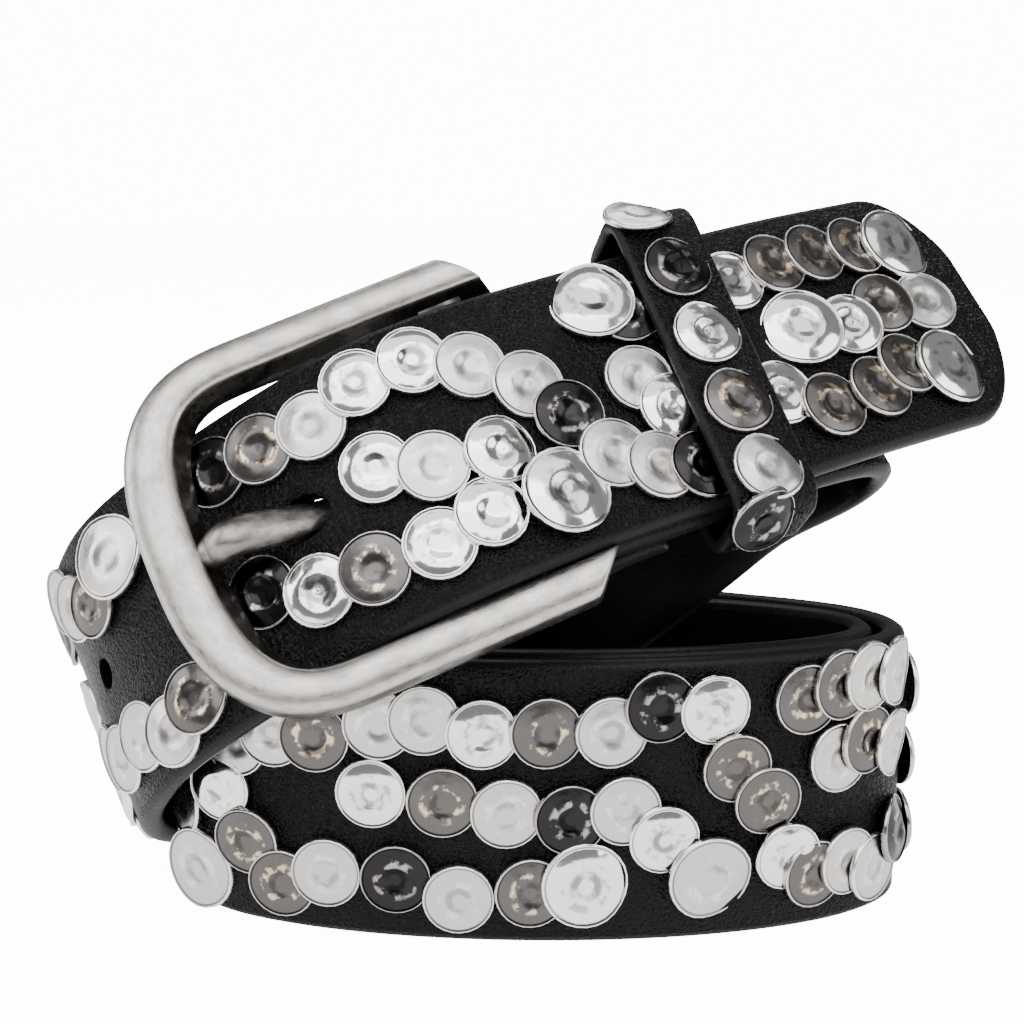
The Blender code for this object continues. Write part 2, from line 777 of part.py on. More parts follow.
def make_prong(parts, cutters, material):
    prong = prong_body("prong", 0.0, parts, material)
    axis = plane_frame(*BAR, PRONG_SHIFT, FRONT_ANGLE) @ Matrix.Rotation(math.pi / 2, 4, "X")
    eye = cylinder("prong_eye_tool", PRONG_EYE_RADIUS, 0.92 * PRONG_WIDTH, axis, cutters, sides=16)
    add_boolean(prong, eye, "UNION")
    bore_radius = CROSS_BAR_RADIUS + PRONG_CLEARANCE
    bore = cylinder("prong_bore_cut", bore_radius, 3 * PRONG_WIDTH, axis, cutters, sides=16)
    add_boolean(prong, bore, "DIFFERENCE")
    return prong


def keeper_axes(route):
    """The keeper's own axes on the strap, turned a little out of square with it."""
    skew = Matrix.Rotation(math.radians(KEEPER_SKEW_DEG), 4, "Z")
    return route.axes(route.behind_tip(KEEPER_PLACE)) @ skew


def keeper_shape():
    """Half length, corner radius, front and back of the keeper's middle line on the strap."""
    half = STRAP_WIDTH / 2 + KEEPER_SLACK + KEEPER_THICKNESS / 2
    front = STRAP_THICKNESS / 2 + KEEPER_FRONT_GAP + KEEPER_THICKNESS / 2
    back = -LAYER_PITCH - STRAP_THICKNESS / 2 - KEEPER_BACK_GAP - KEEPER_THICKNESS / 2
    return half, 0.27 * (front - back), front, back


def keeper_band():
    """The keeper's middle line, across by out: a flat loop round the strap's two layers."""
    half, corner, front, back = keeper_shape()
    corners = (
        (half - corner, front - corner, 0), (corner - half, front - corner, 90),
        (corner - half, back + corner, 180), (half - corner, back + corner, 270),
    )
    line = []
    for across, out, start in corners:
        for degrees in (0, 30, 60, 90):
            angle = math.radians(start + degrees)
            line.append((across + corner * math.cos(angle), out + corner * math.sin(angle)))
    return line


def make_keeper(route, parts, cutters, material):
    axes = keeper_axes(route)
    points, faces = [], []
    line = keeper_band()
    for across, out in line:
        for edge in (-0.5, 0.5):
            points.append(axes @ Vector((edge * KEEPER_WIDTH, across, out)))
    count = len(line)
    for i in range(count):
        k = (i + 1) % count
        faces.append((2 * i, 2 * k, 2 * k + 1, 2 * i + 1))
    keeper = new_object("keeper", points, faces, parts, material)
    add_solidify(keeper, KEEPER_THICKNESS)
    add_bevel(keeper, EDGE_ROUNDING)
    studs = [(keeper_stud(axes, *row), STUD_RADIUS, 0.0) for row in KEEPER_STUDS]
    add_studs(keeper, studs, cutters)
    return keeper


def keeper_stud(axes, across, along, turn_deg):
    """A stud's surface on the band: flat in front, or turned over one of its two ends."""
    half, corner, front, back = keeper_shape()
    middle = Vector((along * KEEPER_WIDTH, across * STRAP_WIDTH / 2, front + KEEPER_THICKNESS / 2))
    angle = math.copysign(math.radians(turn_deg), -across)
    if turn_deg:
        reach = corner + KEEPER_THICKNESS / 2
        middle.y = math.copysign(half - corner + reach * math.sin(abs(angle)), across)
        middle.z = front - corner + reach * math.cos(angle)
    tilt = Matrix.Translation(middle) @ Matrix.Rotation(angle, 4, "X")

    def surface(along_stud, across_stud, height):
        return np.array(axes @ (tilt @ Vector((along_stud, across_stud, height))))

    return surface


def lowest_and_highest(bodies):
    graph = bpy.context.evaluated_depsgraph_get()
    corners = []
    for body in bodies:
        seen = body.evaluated_get(graph)
        corners += [seen.matrix_world @ vertex.co for vertex in seen.data.vertices]
    corners = np.array(corners)
    return corners.min(0), corners.max(0)


def set_on_floor(bodies, cutters):
    """One empty carries everything, so that the origin is the middle of the footprint."""
    low, high = lowest_and_highest(bodies)
    origin = bpy.data.objects.new("belt_origin", None)
    bpy.context.scene.collection.objects.link(origin)
    for body in list(bodies) + list(cutters):
        body.parent = origin
    origin.location = (-(low[0] + high[0]) / 2, -(low[1] + high[1]) / 2, -low[2])


clear_scene()
parts_collection = new_collection("studded_belt")
cutters_collection = new_collection("cutters")
strap_leather = new_material("strap_leather", BLACK_LEATHER, 0.5, 0.0)
keeper_leather = new_material("keeper_leather", BLACK_LEATHER, 0.5, 0.0)
frame_metal = new_material("frame_metal", ANTIQUE_SILVER, 0.38, 1.0)
prong_metal = new_material("prong_metal", ANTIQUE_SILVER, 0.38, 1.0)
strap_route = Route()
pieces = [
    make_strap(strap_route, parts_collection, cutters_collection, strap_leather),
    make_frame(parts_collection, cutters_collection, frame_metal),
    make_prong(parts_collection, cutters_collection, prong_metal),
    make_keeper(strap_route, parts_collection, cutters_collection, keeper_leather),
]
set_on_floor(pieces, cutters_collection.objects)
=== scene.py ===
"""Dressed model of a studded leather belt, buckled and coiled: a standing ring and a leaning loop."""
import math

import bmesh
import bpy
import numpy as np
from mathutils import Matrix, Vector


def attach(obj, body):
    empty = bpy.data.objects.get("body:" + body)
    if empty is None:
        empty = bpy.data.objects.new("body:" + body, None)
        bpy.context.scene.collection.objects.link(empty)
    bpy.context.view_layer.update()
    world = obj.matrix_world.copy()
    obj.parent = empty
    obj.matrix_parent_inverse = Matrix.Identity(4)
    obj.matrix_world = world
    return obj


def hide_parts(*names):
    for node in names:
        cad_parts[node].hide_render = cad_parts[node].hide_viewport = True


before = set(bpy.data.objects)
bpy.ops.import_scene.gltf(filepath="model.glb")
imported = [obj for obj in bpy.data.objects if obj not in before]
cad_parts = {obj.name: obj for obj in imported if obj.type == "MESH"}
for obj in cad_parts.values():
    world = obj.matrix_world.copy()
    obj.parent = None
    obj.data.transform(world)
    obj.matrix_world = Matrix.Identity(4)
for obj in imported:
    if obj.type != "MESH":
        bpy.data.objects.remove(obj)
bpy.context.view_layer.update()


# The camera stands low in front of the buckle, as for a product picture. The floor is a wide white
# table with an even glow, under a white sky. Softboxes in front, beside, above and behind are what
# the metal mirrors.


def add_object(name, data):
    thing = bpy.data.objects.new(name, data)
    bpy.context.scene.collection.objects.link(thing)
    return thing


camera_data = bpy.data.cameras.new("camera")
camera_data.lens = 56.25
camera_data.sensor_width = 36
camera = add_object("camera", camera_data)
camera.location = (-0.00123, -0.20957, 0.09787)
camera.rotation_euler = (math.radians(78), 0, 0)
bpy.context.scene.camera = camera
WHITE_SEEN = 14.0
FLOOR_GLOW = 0.75
ROOM_GREY = 0.24


def fill(tree, node, values):
    """Sets a node's sockets. Each value is a constant, or the output that it comes from."""
    for socket, value in values.items():
        if isinstance(value, bpy.types.NodeSocket):
            tree.links.new(value, node.inputs[socket])
        else:
            node.inputs[socket].default_value = value


def add_node(tree, kind, values=None, **settings):
    node = tree.nodes.new(kind)
    for label, setting in settings.items():
        setattr(node, label, setting)
    fill(tree, node, values or {})
    return node


def mapped(tree, value, low=0.0, high=1.0, to_low=0.0, to_high=1.0, **settings):
    sockets = {"Value": value, "From Min": low, "From Max": high, "To Min": to_low, "To Max": to_high}
    return add_node(tree, "ShaderNodeMapRange", sockets, **settings).outputs[0]


def plain_material(name, colour, roughness):
    material = bpy.data.materials.new(name)
    material.use_nodes = True
    shader = material.node_tree.nodes["Principled BSDF"]
    fill(material.node_tree, shader, {"Base Color": (*colour, 1), "Roughness": roughness})
    return material


def seen_or_mirrored(tree, seen, mirrored):
    """A strength that is one value to the eye and another to the metal and leather."""
    path = add_node(tree, "ShaderNodeLightPath")
    return mapped(tree, path.outputs["Is Camera Ray"], to_low=mirrored, to_high=seen)


def white_table(radius):
    mesh = bmesh.new()
    bmesh.ops.create_circle(mesh, cap_ends=True, segments=96, radius=radius)
    data = bpy.data.meshes.new("studio_floor")
    mesh.to_mesh(data)
    mesh.free()
    return add_object("studio_floor", data)


studio_floor = white_table(3.0)
floor_white = plain_material("pale_floor", (0.88, 0.88, 0.88), 0.8)
floor_tree = floor_white.node_tree
fill(floor_tree, floor_tree.nodes["Principled BSDF"], {
    "Emission Color": (1, 1, 1, 1),
    "Emission Strength": seen_or_mirrored(floor_tree, WHITE_SEEN - 0.6, FLOOR_GLOW),
})
studio_floor.data.materials.append(floor_white)


def softbox(name, place, size, glow):
    """An area light with a face of the given brightness, turned to the belt."""
    light = bpy.data.lights.new(name, "AREA")
    light.shape = "RECTANGLE"
    light.size, light.size_y = size
    light.energy = glow * math.pi * size[0] * size[1]
    box = add_object(name, light)
    box.location = place
    box.rotation_euler = (BELT_MIDDLE - Vector(place)).to_track_quat("-Z", "Y").to_euler()


BELT_MIDDLE = Vector((0, 0, 0.05))
softbox("softbox_front", (-0.15, -0.80, 0.95), (1.5, 0.95), 3.6)
softbox("softbox_left", (-1.05, -0.15, 0.45), (0.45, 0.8), 4.5)
softbox("softbox_right", (0.95, -0.45, 0.50), (0.55, 0.9), 3.4)
softbox("softbox_above", (0.0, -0.35, 1.45), (1.7, 0.9), 1.5)
softbox("softbox_behind", (0.1, 0.75, 1.0), (1.0, 0.35), 4.0)

world = bpy.data.worlds.new("studio_light")
world.use_nodes = True
bpy.context.scene.world = world
fill(world.node_tree, world.node_tree.nodes["Background"], {
    "Color": (1, 1, 1, 1),
    "Strength": seen_or_mirrored(world.node_tree, WHITE_SEEN, ROOM_GREY),
})



# The strap is one black leather band, 38 mm wide, with a fine pebbled grain outside, a smooth
# lining inside and edges painted dark grey. It is folded round the buckle's cross bar at one end,
# coiled to a standing ring, and brought round in a leaning loop to its rounded tip.
BELT_ORIGIN = np.array([0.0017741, -0.0000714, 0.0000698])
STRAP_WIDTH = 0.038
STRAP_THICKNESS = 0.0032
TIP_LENGTH = 0.0105
TIP_END_WIDTH = 0.007
CLEARANCE = 0.0003
COIL_LENGTH = 0.0974
COIL_DEPTH = 0.0362
LAYER_PITCH = STRAP_THICKNESS + 0.0011
LOOP_RISE = math.radians(28.6)
LOOP_LEAN = math.radians(30.4)
LOOP_START = np.array([-0.0276, -0.0174, 0.0562])
CROSS_BAR_RADIUS = 0.0020
BAR_FOLD_RADIUS = CROSS_BAR_RADIUS + 0.00035 + STRAP_THICKNESS / 2
RETURN_LENGTH = 0.013
FOLD_TO_INNER_END = 0.0075
SAMPLE_STEP = 0.001
TWIST_SMOOTHING = 0.005

# Loop's inner end, under its front: along (share of coil length), back (share of coil depth)
INNER_END = (
    (0.328, 0.215), (0.426, 0.354), (0.524, 0.494), (0.585, 0.597),
    (0.640, 0.713), (0.677, 0.840), (0.684, 0.961), (0.659, 1.072),
)

# Going down behind to the ring: along, back, height (share of strap width), share of the lean
DESCENT = (
    (0.272, 0.497, 1.621, 0.85), (0.185, 0.387, 1.489, 0.68), (0.036, 0.260, 1.226, 0.40),
    (-0.113, 0.182, 0.950, 0.15), (-0.205, 0.127, 0.771, 0.03), (-0.277, 0.083, 0.653, 0.00),
    (-0.322, 0.033, 0.587, 0.00), (-0.339, -0.055, 0.550, 0.00), (-0.320, -0.146, 0.524, 0.00),
    (-0.270, -0.232, 0.507, 0.00),
)

# Going up behind and round the left turn to the loop, in the same columns
ASCENT = (
    (0.072, 0.575, 0.511, 0.05), (-0.154, 0.638, 0.508, 0.20), (-0.349, 0.680, 0.495, 0.50),
    (-0.441, 0.669, 0.482, 0.72), (-0.513, 0.602, 0.474, 0.90), (-0.569, 0.486, 0.468, 1.00),
    (-0.600, 0.365, 0.500, 1.00), (-0.611, 0.232, 0.571, 1.00), (-0.609, 0.094, 0.658, 1.00),
    (-0.598, -0.017, 0.745, 1.00), (-0.578, -0.116, 0.834, 1.00), (-0.546, -0.224, 0.950, 1.00),
)

# Loop's front from the left turn to the tip, in the columns of the inner end
FRONT = (
    (-0.242, 0.169), (-0.137, 0.090), (-0.028, 0.040), (0.083, 0.020),
    (0.193, 0.066), (0.297, 0.177), (0.446, 0.381), (0.593, 0.591),
    (0.736, 0.829), (0.874, 1.086), (0.927, 1.174),
)


def unit(vectors):
    return vectors / np.linalg.norm(vectors, axis=-1, keepdims=True)


LOOP_ALONG = np.array([math.cos(LOOP_RISE), 0, math.sin(LOOP_RISE)])
LOOP_ACROSS = np.array([
    -math.sin(LOOP_RISE) * math.cos(LOOP_LEAN), math.sin(LOOP_LEAN),
    math.cos(LOOP_RISE) * math.cos(LOOP_LEAN),
])
LOOP_BACK = np.cross(LOOP_ACROSS, LOOP_ALONG)
FRONT_ANGLE = math.atan2(
    (FRONT[7][1] - FRONT[5][1]) * COIL_DEPTH, (FRONT[7][0] - FRONT[5][0]) * COIL_LENGTH,
)
INWARD = np.array([-math.sin(FRONT_ANGLE), math.cos(FRONT_ANGLE)])
FORWARD = np.array([math.cos(FRONT_ANGLE), math.sin(FRONT_ANGLE)])


def loop_point(along, back, across=0.0):
    place = LOOP_START + along * LOOP_ALONG + back * LOOP_BACK + across * LOOP_ACROSS
    return BELT_ORIGIN + place


def inner_layer(along_share, back_share):
    back = back_share * COIL_DEPTH + LAYER_PITCH / math.cos(FRONT_ANGLE)
    return np.array([along_share * COIL_LENGTH, back])


BAR = inner_layer(*INNER_END[0]) - FOLD_TO_INNER_END * FORWARD + BAR_FOLD_RADIUS * INWARD


def plan_point(along, back, height):
    return BELT_ORIGIN + np.array([along * COIL_LENGTH, back * COIL_DEPTH, height * STRAP_WIDTH])


def fold_points():
    flat = LAYER_PITCH + CLEARANCE
    rows = ((1.0, flat), (0.72, flat), (0.48, flat * 1.15), (0.24, BAR_FOLD_RADIUS * 1.85))
    points = []
    for reach, offset in rows:
        place = BAR + FORWARD * (reach * RETURN_LENGTH + 0.002) + INWARD * (offset - BAR_FOLD_RADIUS)
        points.append(loop_point(*place))
    for step in range(9):
        angle = math.pi * step / 8
        place = BAR + BAR_FOLD_RADIUS * (INWARD * math.cos(angle) - FORWARD * math.sin(angle))
        points.append(loop_point(*place))
    return points


def ring_point(turn_deg):
    layer = (turn_deg - 720) / 360
    turn = math.radians(turn_deg)
    return BELT_ORIGIN + np.array([
        (COIL_LENGTH / 2 + layer * LAYER_PITCH) * math.cos(turn),
        (COIL_DEPTH / 2 + layer * LAYER_PITCH) * math.sin(turn),
        STRAP_WIDTH / 2,
    ])


def natural_spline(points, fractions):
    knots = np.r_[0, np.cumsum(np.linalg.norm(np.diff(points, axis=0), axis=1))]
    gaps = np.diff(knots)
    count = len(points)
    matrix = np.eye(count)
    right = np.zeros_like(points)
    for i in range(1, count - 1):
        matrix[i, i - 1:i + 2] = gaps[i - 1], 2 * (gaps[i - 1] + gaps[i]), gaps[i]
        slopes = (points[i + 1] - points[i]) / gaps[i] - (points[i] - points[i - 1]) / gaps[i - 1]
        right[i] = 6 * slopes
    bends = np.linalg.solve(matrix, right)
    places = np.clip(fractions, 0, 1) * knots[-1]
    spans = np.clip(np.searchsorted(knots, places, side="right") - 1, 0, count - 2)
    before = (knots[spans + 1] - places)[:, None]
    after = (places - knots[spans])[:, None]
    gap = gaps[spans][:, None]
    return (
        bends[spans] * before**3 / (6 * gap) + bends[spans + 1] * after**3 / (6 * gap)
        + (points[spans] / gap - bends[spans] * gap / 6) * before
        + (points[spans + 1] / gap - bends[spans + 1] * gap / 6) * after
    )


def smoothed(rows, reach):
    offsets = np.arange(-int(3 * reach), int(3 * reach) + 1)
    weights = np.exp(-0.5 * (offsets / reach) ** 2)
    padded = np.pad(rows, ((len(offsets) // 2, len(offsets) // 2), (0, 0)), mode="edge")
    columns = [np.convolve(padded[:, axis], weights / weights.sum(), "valid") for axis in range(3)]
    return np.stack(columns, 1)


class StrapRoute:
    """The strap's middle line with its directions: along, across and out of the studded face."""

    def __init__(self):
        stations = [(point, 1.0) for point in fold_points()]
        stations += [(loop_point(*inner_layer(*row)), 1.0) for row in INNER_END]
        stations += [(plan_point(*row[:3]), row[3]) for row in DESCENT]
        stations += [(ring_point(turn), 0.0) for turn in range(240, 775, 19)]
        stations += [(plan_point(*row[:3]), row[3]) for row in ASCENT]
        stations += [(loop_point(row[0] * COIL_LENGTH, row[1] * COIL_DEPTH), 1.0) for row in FRONT]
        places = np.array([place for place, lean in stations])
        leans = np.array([lean for place, lean in stations])
        fine = natural_spline(places, np.linspace(0, 1, 6000))
        travelled = np.r_[0, np.cumsum(np.linalg.norm(np.diff(fine, axis=0), axis=1))]
        self.distance = np.linspace(0, travelled[-1], int(travelled[-1] / SAMPLE_STEP))
        self.middle = np.stack([np.interp(self.distance, travelled, fine[:, k]) for k in range(3)], 1)
        chords = np.r_[0, np.cumsum(np.linalg.norm(np.diff(places, axis=0), axis=1))]
        lean = np.interp(self.distance / self.distance[-1], chords / chords[-1], leans)[:, None]
        self.along = unit(np.gradient(self.middle, axis=0))
        across = self.square((1 - lean) * np.array([0.0, 0.0, 1.0]) + lean * LOOP_ACROSS)
        self.across = self.square(smoothed(across, TWIST_SMOOTHING / SAMPLE_STEP))
        self.out = np.cross(self.along, self.across)
        self.length = self.distance[-1]

    def square(self, across):
        leak = (across * self.along).sum(1)[:, None]
        return unit(across - leak * self.along)

    def read(self, rows, at):
        return np.stack([np.interp(at, self.distance, rows[:, k]) for k in range(3)], -1)

    def point(self, at, across, out):
        across, out = np.asarray(across)[..., None], np.asarray(out)[..., None]
        sideways = unit(self.read(self.across, at)) * across
        return self.read(self.middle, at) + sideways + unit(self.read(self.out, at)) * out

    def axes(self, at):
        along = unit(self.read(self.along, at))
        out = unit(self.read(self.out, at))
        return along, np.cross(out, along), out


route = StrapRoute()


def half_width(at):
    past = np.clip((at - (route.length - TIP_LENGTH)) / TIP_LENGTH, 0, 1)
    return np.maximum(STRAP_WIDTH / 2 * np.sqrt(1 - past**2), TIP_END_WIDTH / 2)


def rounded_band_section(half, thickness, rounding, spans):
    """Across and out round a flat band, its painted edge's share, and the grain's reach round it."""
    deep = thickness / 2
    rows = []
    for side, face in ((1, 1), (-1, -1)):
        for share in np.linspace(-1, 1, spans + 1):
            rows.append((share * side * (half - rounding), face * deep, 0.0))
        for step in range(1, 6):
            angle = math.pi * step / 6
            out = face * math.cos(angle)
            rows.append((side * (half - rounding + rounding * math.sin(angle)), out * deep, 1.0))
    return np.array(rows)


def opened(body):
    mesh = bmesh.new()
    mesh.from_mesh(body.data)
    return mesh


def put_back(mesh, body):
    """Ends an edit of a body's mesh, with its faces outwards and smooth."""
    bmesh.ops.recalc_face_normals(mesh, faces=mesh.faces)
    for face in mesh.faces:
        face.smooth = True
    mesh.to_mesh(body.data)
    mesh.free()


def stitch(mesh, rings):
    """Faces between each ring of vertices and the next."""
    for near, far in zip(rings, rings[1:]):
        for j in range(len(near)):
            k = (j + 1) % len(near)
            mesh.faces.new((near[j], near[k], far[k], far[j]))


def skin_rows(name, rows, closed, marks, uvs):
    """A quad skin over equal rows of points, with its marks and its own UV map."""
    count = len(rows[0])
    points = np.concatenate(rows)
    faces = []
    for i in range(len(rows) if closed else len(rows) - 1):
        near, far = i * count, (i + 1) % len(rows) * count
        for j in range(count):
            k = (j + 1) % count
            faces.append((near + j, near + k, far + k, far + j))
    mesh = bpy.data.meshes.new(name)
    if not closed:
        faces.append(tuple(range(count)))
        faces.append(tuple(range(len(points) - count, len(points))))
    mesh.from_pydata([tuple(point) for point in points], [], faces)
    for label, values in marks.items():
        layer = mesh.attributes.new(label, "FLOAT", "POINT")
        layer.data.foreach_set("value", np.concatenate(values).astype(np.float32))
    layer = mesh.uv_layers.new(name=f"{name}_map")
    flat = np.concatenate(uvs)
    for loop in mesh.loops:
        layer.data[loop.index].uv = flat[loop.vertex_index]
    skin = add_object(name, mesh)
    put_back(opened(skin), skin)
    return skin


EDGE_ROUNDING = 0.0011
PAINTED_END = 0.0006
ROW_SPACING = 0.0012


def skin_band(name, sections, closed):
    """A leather band from its rows: points, its section, and its map's two directions in metres."""
    marks = {"painted_edge": [], "lining": []}
    rows, uvs = [], []
    for points, section, painted, along, across in sections:
        rows.append(points)
        marks["painted_edge"].append(np.maximum(section[:, 2], painted))
        marks["lining"].append((section[:, 1] < 0).astype(float))
        flat = np.broadcast_arrays(along, across, section[:, 0])[:2]
        uvs.append(np.stack(flat, 1) * 100)
    return skin_rows(name, rows, closed, marks, uvs)


def make_strap():
    rows = []
    last = route.length - TIP_LENGTH
    stops = list(np.arange(0, last, ROW_SPACING))
    stops += [last + TIP_LENGTH * math.sin(math.radians(turn)) for turn in range(0, 88, 4)]
    stops.append(route.length)
    for at in stops:
        section = rounded_band_section(float(half_width(at)), STRAP_THICKNESS, EDGE_ROUNDING, 14)
        end = min(at, route.length - at)
        pinch = 1 - 0.75 * max(0.0, 1 - end / EDGE_ROUNDING) ** 2
        points = route.point(np.full(len(section), at), section[:, 0], section[:, 1] * pinch)
        rows.append((points, section, 1.0 if end < PAINTED_END else 0.0, at, section[:, 0]))
    return skin_band("strap_leather", rows, False)


def cut_hole(body, at, across, radius, stretch):
    """Punches an oval hole through the strap, long along it."""
    along, sideways, out = route.axes(at)
    turn = Matrix((along, sideways, out)).transposed().to_4x4()
    turn.translation = Vector(route.point(at, across, 0.0))
    mesh = bmesh.new()
    bmesh.ops.create_cone(
        mesh, cap_ends=True, segments=40, radius1=radius, radius2=radius,
        depth=STRAP_THICKNESS * 1.8, matrix=turn @ Matrix.Diagonal((stretch, 1, 1, 1)),
    )
    data = bpy.data.meshes.new("punch")
    mesh.to_mesh(data)
    mesh.free()
    punch = add_object("punch", data)
    modifier = body.modifiers.new("hole", "BOOLEAN")
    modifier.operation = "DIFFERENCE"
    modifier.solver = "EXACT"
    modifier.object = punch
    settle(body)
    bpy.data.objects.remove(punch)


def settle(body):
    """Turns a piece's modifiers into its plain mesh."""
    graph = bpy.context.evaluated_depsgraph_get()
    mesh = bpy.data.meshes.new_from_object(body.evaluated_get(graph))
    body.modifiers.clear()
    body.data = mesh


def add_group(name, inputs, outputs):
    """An empty shader node group with plain number, vector or colour sockets."""
    group = bpy.data.node_groups.new(name, "ShaderNodeTree")
    for label, kind, value in inputs:
        socket = group.interface.new_socket(label, in_out="INPUT", socket_type=kind)
        if value is not None:
            socket.default_value = value
    for label, kind in outputs:
        group.interface.new_socket(label, in_out="OUTPUT", socket_type=kind)
    return group, group.nodes.new("NodeGroupInput"), group.nodes.new("NodeGroupOutput")


def worked(tree, operation, *numbers, clamp=False):
    sockets = dict(enumerate(numbers))
    return add_node(tree, "ShaderNodeMath", sockets, operation=operation, use_clamp=clamp).outputs[0]


def noise(tree, place, scale, detail, values=None, **settings):
    sockets = {"Vector": place, "Scale": scale, "Detail": detail, **(values or {})}
    return add_node(tree, "ShaderNodeTexNoise", sockets, **settings)


def pebbled_grain():
    """Fine pebbles with creases between them, gathered here and there into wrinkles."""
    group, given, result = add_group(
        "pebbled_grain",
        [("Place", "NodeSocketVector", None), ("Pebbles per cm", "NodeSocketFloat", 15.0)],
        [("Height", "NodeSocketFloat"), ("Patch", "NodeSocketFloat")],
    )
    place = given.outputs["Place"]
    bend = noise(group, place, 3.2, 2).outputs["Color"]
    bent = add_node(
        group, "ShaderNodeVectorMath", {0: bend, 1: (0.11, 0.11, 0), 2: place}, operation="MULTIPLY_ADD",
    ).outputs[0]
    pebbles = add_node(
        group, "ShaderNodeTexVoronoi", {"Vector": bent, "Scale": given.outputs["Pebbles per cm"]},
        feature="DISTANCE_TO_EDGE",
    )
    swell = mapped(group, pebbles.outputs["Distance"], high=0.32, interpolation_type="SMOOTHSTEP")
    squashed = add_node(group, "ShaderNodeMapping", {
        "Vector": bent, "Scale": (1.0, 0.32, 1.0), "Rotation": (0, 0, math.radians(14)),
    }).outputs[0]
    wrinkles = noise(group, squashed, 7.0, 3, noise_type="RIDGED_MULTIFRACTAL").outputs["Fac"]
    patch = noise(group, place, 0.9, 2).outputs["Fac"]
    deepened = worked(group, "MULTIPLY", wrinkles, patch)
    fill(group, result, {"Height": worked(group, "MULTIPLY_ADD", deepened, 0.75, swell), "Patch": patch})
    return group


def attribute(tree, label, output="Fac"):
    return add_node(tree, "ShaderNodeAttribute", attribute_name=label).outputs[output]


def mixed(tree, share, first, second):
    sockets = {"Factor": share, "A": first, "B": second}
    return add_node(tree, "ShaderNodeMix", sockets, data_type="RGBA").outputs["Result"]


def bumped(tree, height, strength, distance):
    sockets = {"Height": height, "Strength": strength, "Distance": distance}
    return add_node(tree, "ShaderNodeBump", sockets).outputs[0]


def leather_material(name, map_name, grain):
    """Black leather: grained face, smooth lining, satin grey paint on the edges."""
    material = plain_material(name, (0.0018, 0.0018, 0.002), 0.45)
    tree = material.node_tree
    place = add_node(tree, "ShaderNodeUVMap", uv_map=map_name).outputs[0]
    pebbles = add_node(tree, "ShaderNodeGroup", {"Place": place}, node_tree=grain)
    edge = attribute(tree, "painted_edge")
    smooth = worked(tree, "MAXIMUM", edge, attribute(tree, "lining"))
    depth = mapped(tree, smooth, to_low=1.0, to_high=0.12)
    height = worked(tree, "MULTIPLY", pebbles.outputs["Height"], depth)
    fill(tree, tree.nodes["Principled BSDF"], {
        "Specular IOR Level": 0.12,
        "Base Color": mixed(tree, edge, (0.0018, 0.0018, 0.0020, 1), (0.010, 0.010, 0.012, 1)),
        "Roughness": mapped(tree, pebbles.outputs["Patch"], 0.3, 0.7, 0.30, 0.46),
        "Normal": bumped(tree, height, 0.55, 0.0003),
    })
    return material


grain_group = pebbled_grain()
strap = make_strap()
PRONG_SHIFT = 0.0004
HOLE_SPACING = 0.0205
SPARE_HOLE_RADIUS = 0.0021
PRONG_HOLE_RADIUS = 0.0027
PRONG_HOLE_STRETCH = 1.30
PRONG_HOLE_SHIFT = -0.0024
front_start = len(route.distance) // 2
to_loop_start = np.linalg.norm(route.middle[front_start:] - loop_point(0.0020, 0.0013), axis=1)
prong_hole_at = route.distance[front_start + int(to_loop_start.argmin())]
cut_hole(
    strap, prong_hole_at + PRONG_HOLE_SHIFT, PRONG_SHIFT, PRONG_HOLE_RADIUS, PRONG_HOLE_STRETCH,
)
for number in (1, 2):
    cut_hole(strap, prong_hole_at - number * HOLE_SPACING, 0.0, SPARE_HOLE_RADIUS, 1.0)
strap.data.materials.clear()
strap.data.materials.append(leather_material("black_strap_leather", "strap_leather_map", grain_group))
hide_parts("strap")
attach(strap, "root")


# The studs are pressed metal discs set in the leather by their backs, so close that each one lies
# on the one before it like a roof tile. They come in four finishes: bright chrome, satin pearl,
# gunmetal with tan on its rings (partly wear, partly painted glint), and dark. Each has a rolled rim
# and a dent in its middle. Painted shade darkens the dent and the groove inside the rim, a painted
# highlight lies on the rim, and painted arcs of reflection lie on the middle ring.
STUD_RADIUS = 0.0047
LARGE = 0.0058
STUD_TILT = math.radians(6.0)
STUD_SIDES = 26
STUD_PRESS = 0.20
# Share of a finish's colour left in the painted shade of the groove inside the rim.
GROOVE_PAINTED_SHADE = 0.34
CHROME, PEARL, GUNMETAL, DARK = "chrome", "pearl", "gunmetal", "dark"
PRESSED, WHOLE = 0, 1

# Profiles of a stud of radius one, from its middle out: radius, height
STUD_PROFILES = {
    "dented": (
        (0.00, 0.140), (0.12, 0.136), (0.22, 0.142), (0.32, 0.170), (0.42, 0.204), (0.50, 0.214),
        (0.60, 0.206), (0.70, 0.190), (0.80, 0.174), (0.87, 0.158), (0.915, 0.150), (0.945, 0.184),
        (0.972, 0.186), (0.992, 0.150), (1.00, 0.105), (1.00, 0.020),
    ),
    "domed": (
        (0.00, 0.192), (0.12, 0.187), (0.22, 0.192), (0.32, 0.214), (0.42, 0.238), (0.52, 0.246),
        (0.64, 0.236), (0.76, 0.206), (0.86, 0.168), (0.91, 0.150), (0.94, 0.182), (0.968, 0.186),
        (0.990, 0.152), (1.00, 0.105), (1.00, 0.020),
    ),
    "ringed": (
        (0.00, 0.148), (0.12, 0.144), (0.22, 0.148), (0.32, 0.170), (0.42, 0.192), (0.52, 0.196),
        (0.64, 0.186), (0.76, 0.172), (0.85, 0.160), (0.905, 0.152), (0.94, 0.184), (0.970, 0.186),
        (0.99, 0.152), (1.00, 0.105), (1.00, 0.020),
    ),
}
SWIRL = 0.034
FIRST_STUD_TILT = 0.6
LARGE_STUD_LIFT = 0.0008

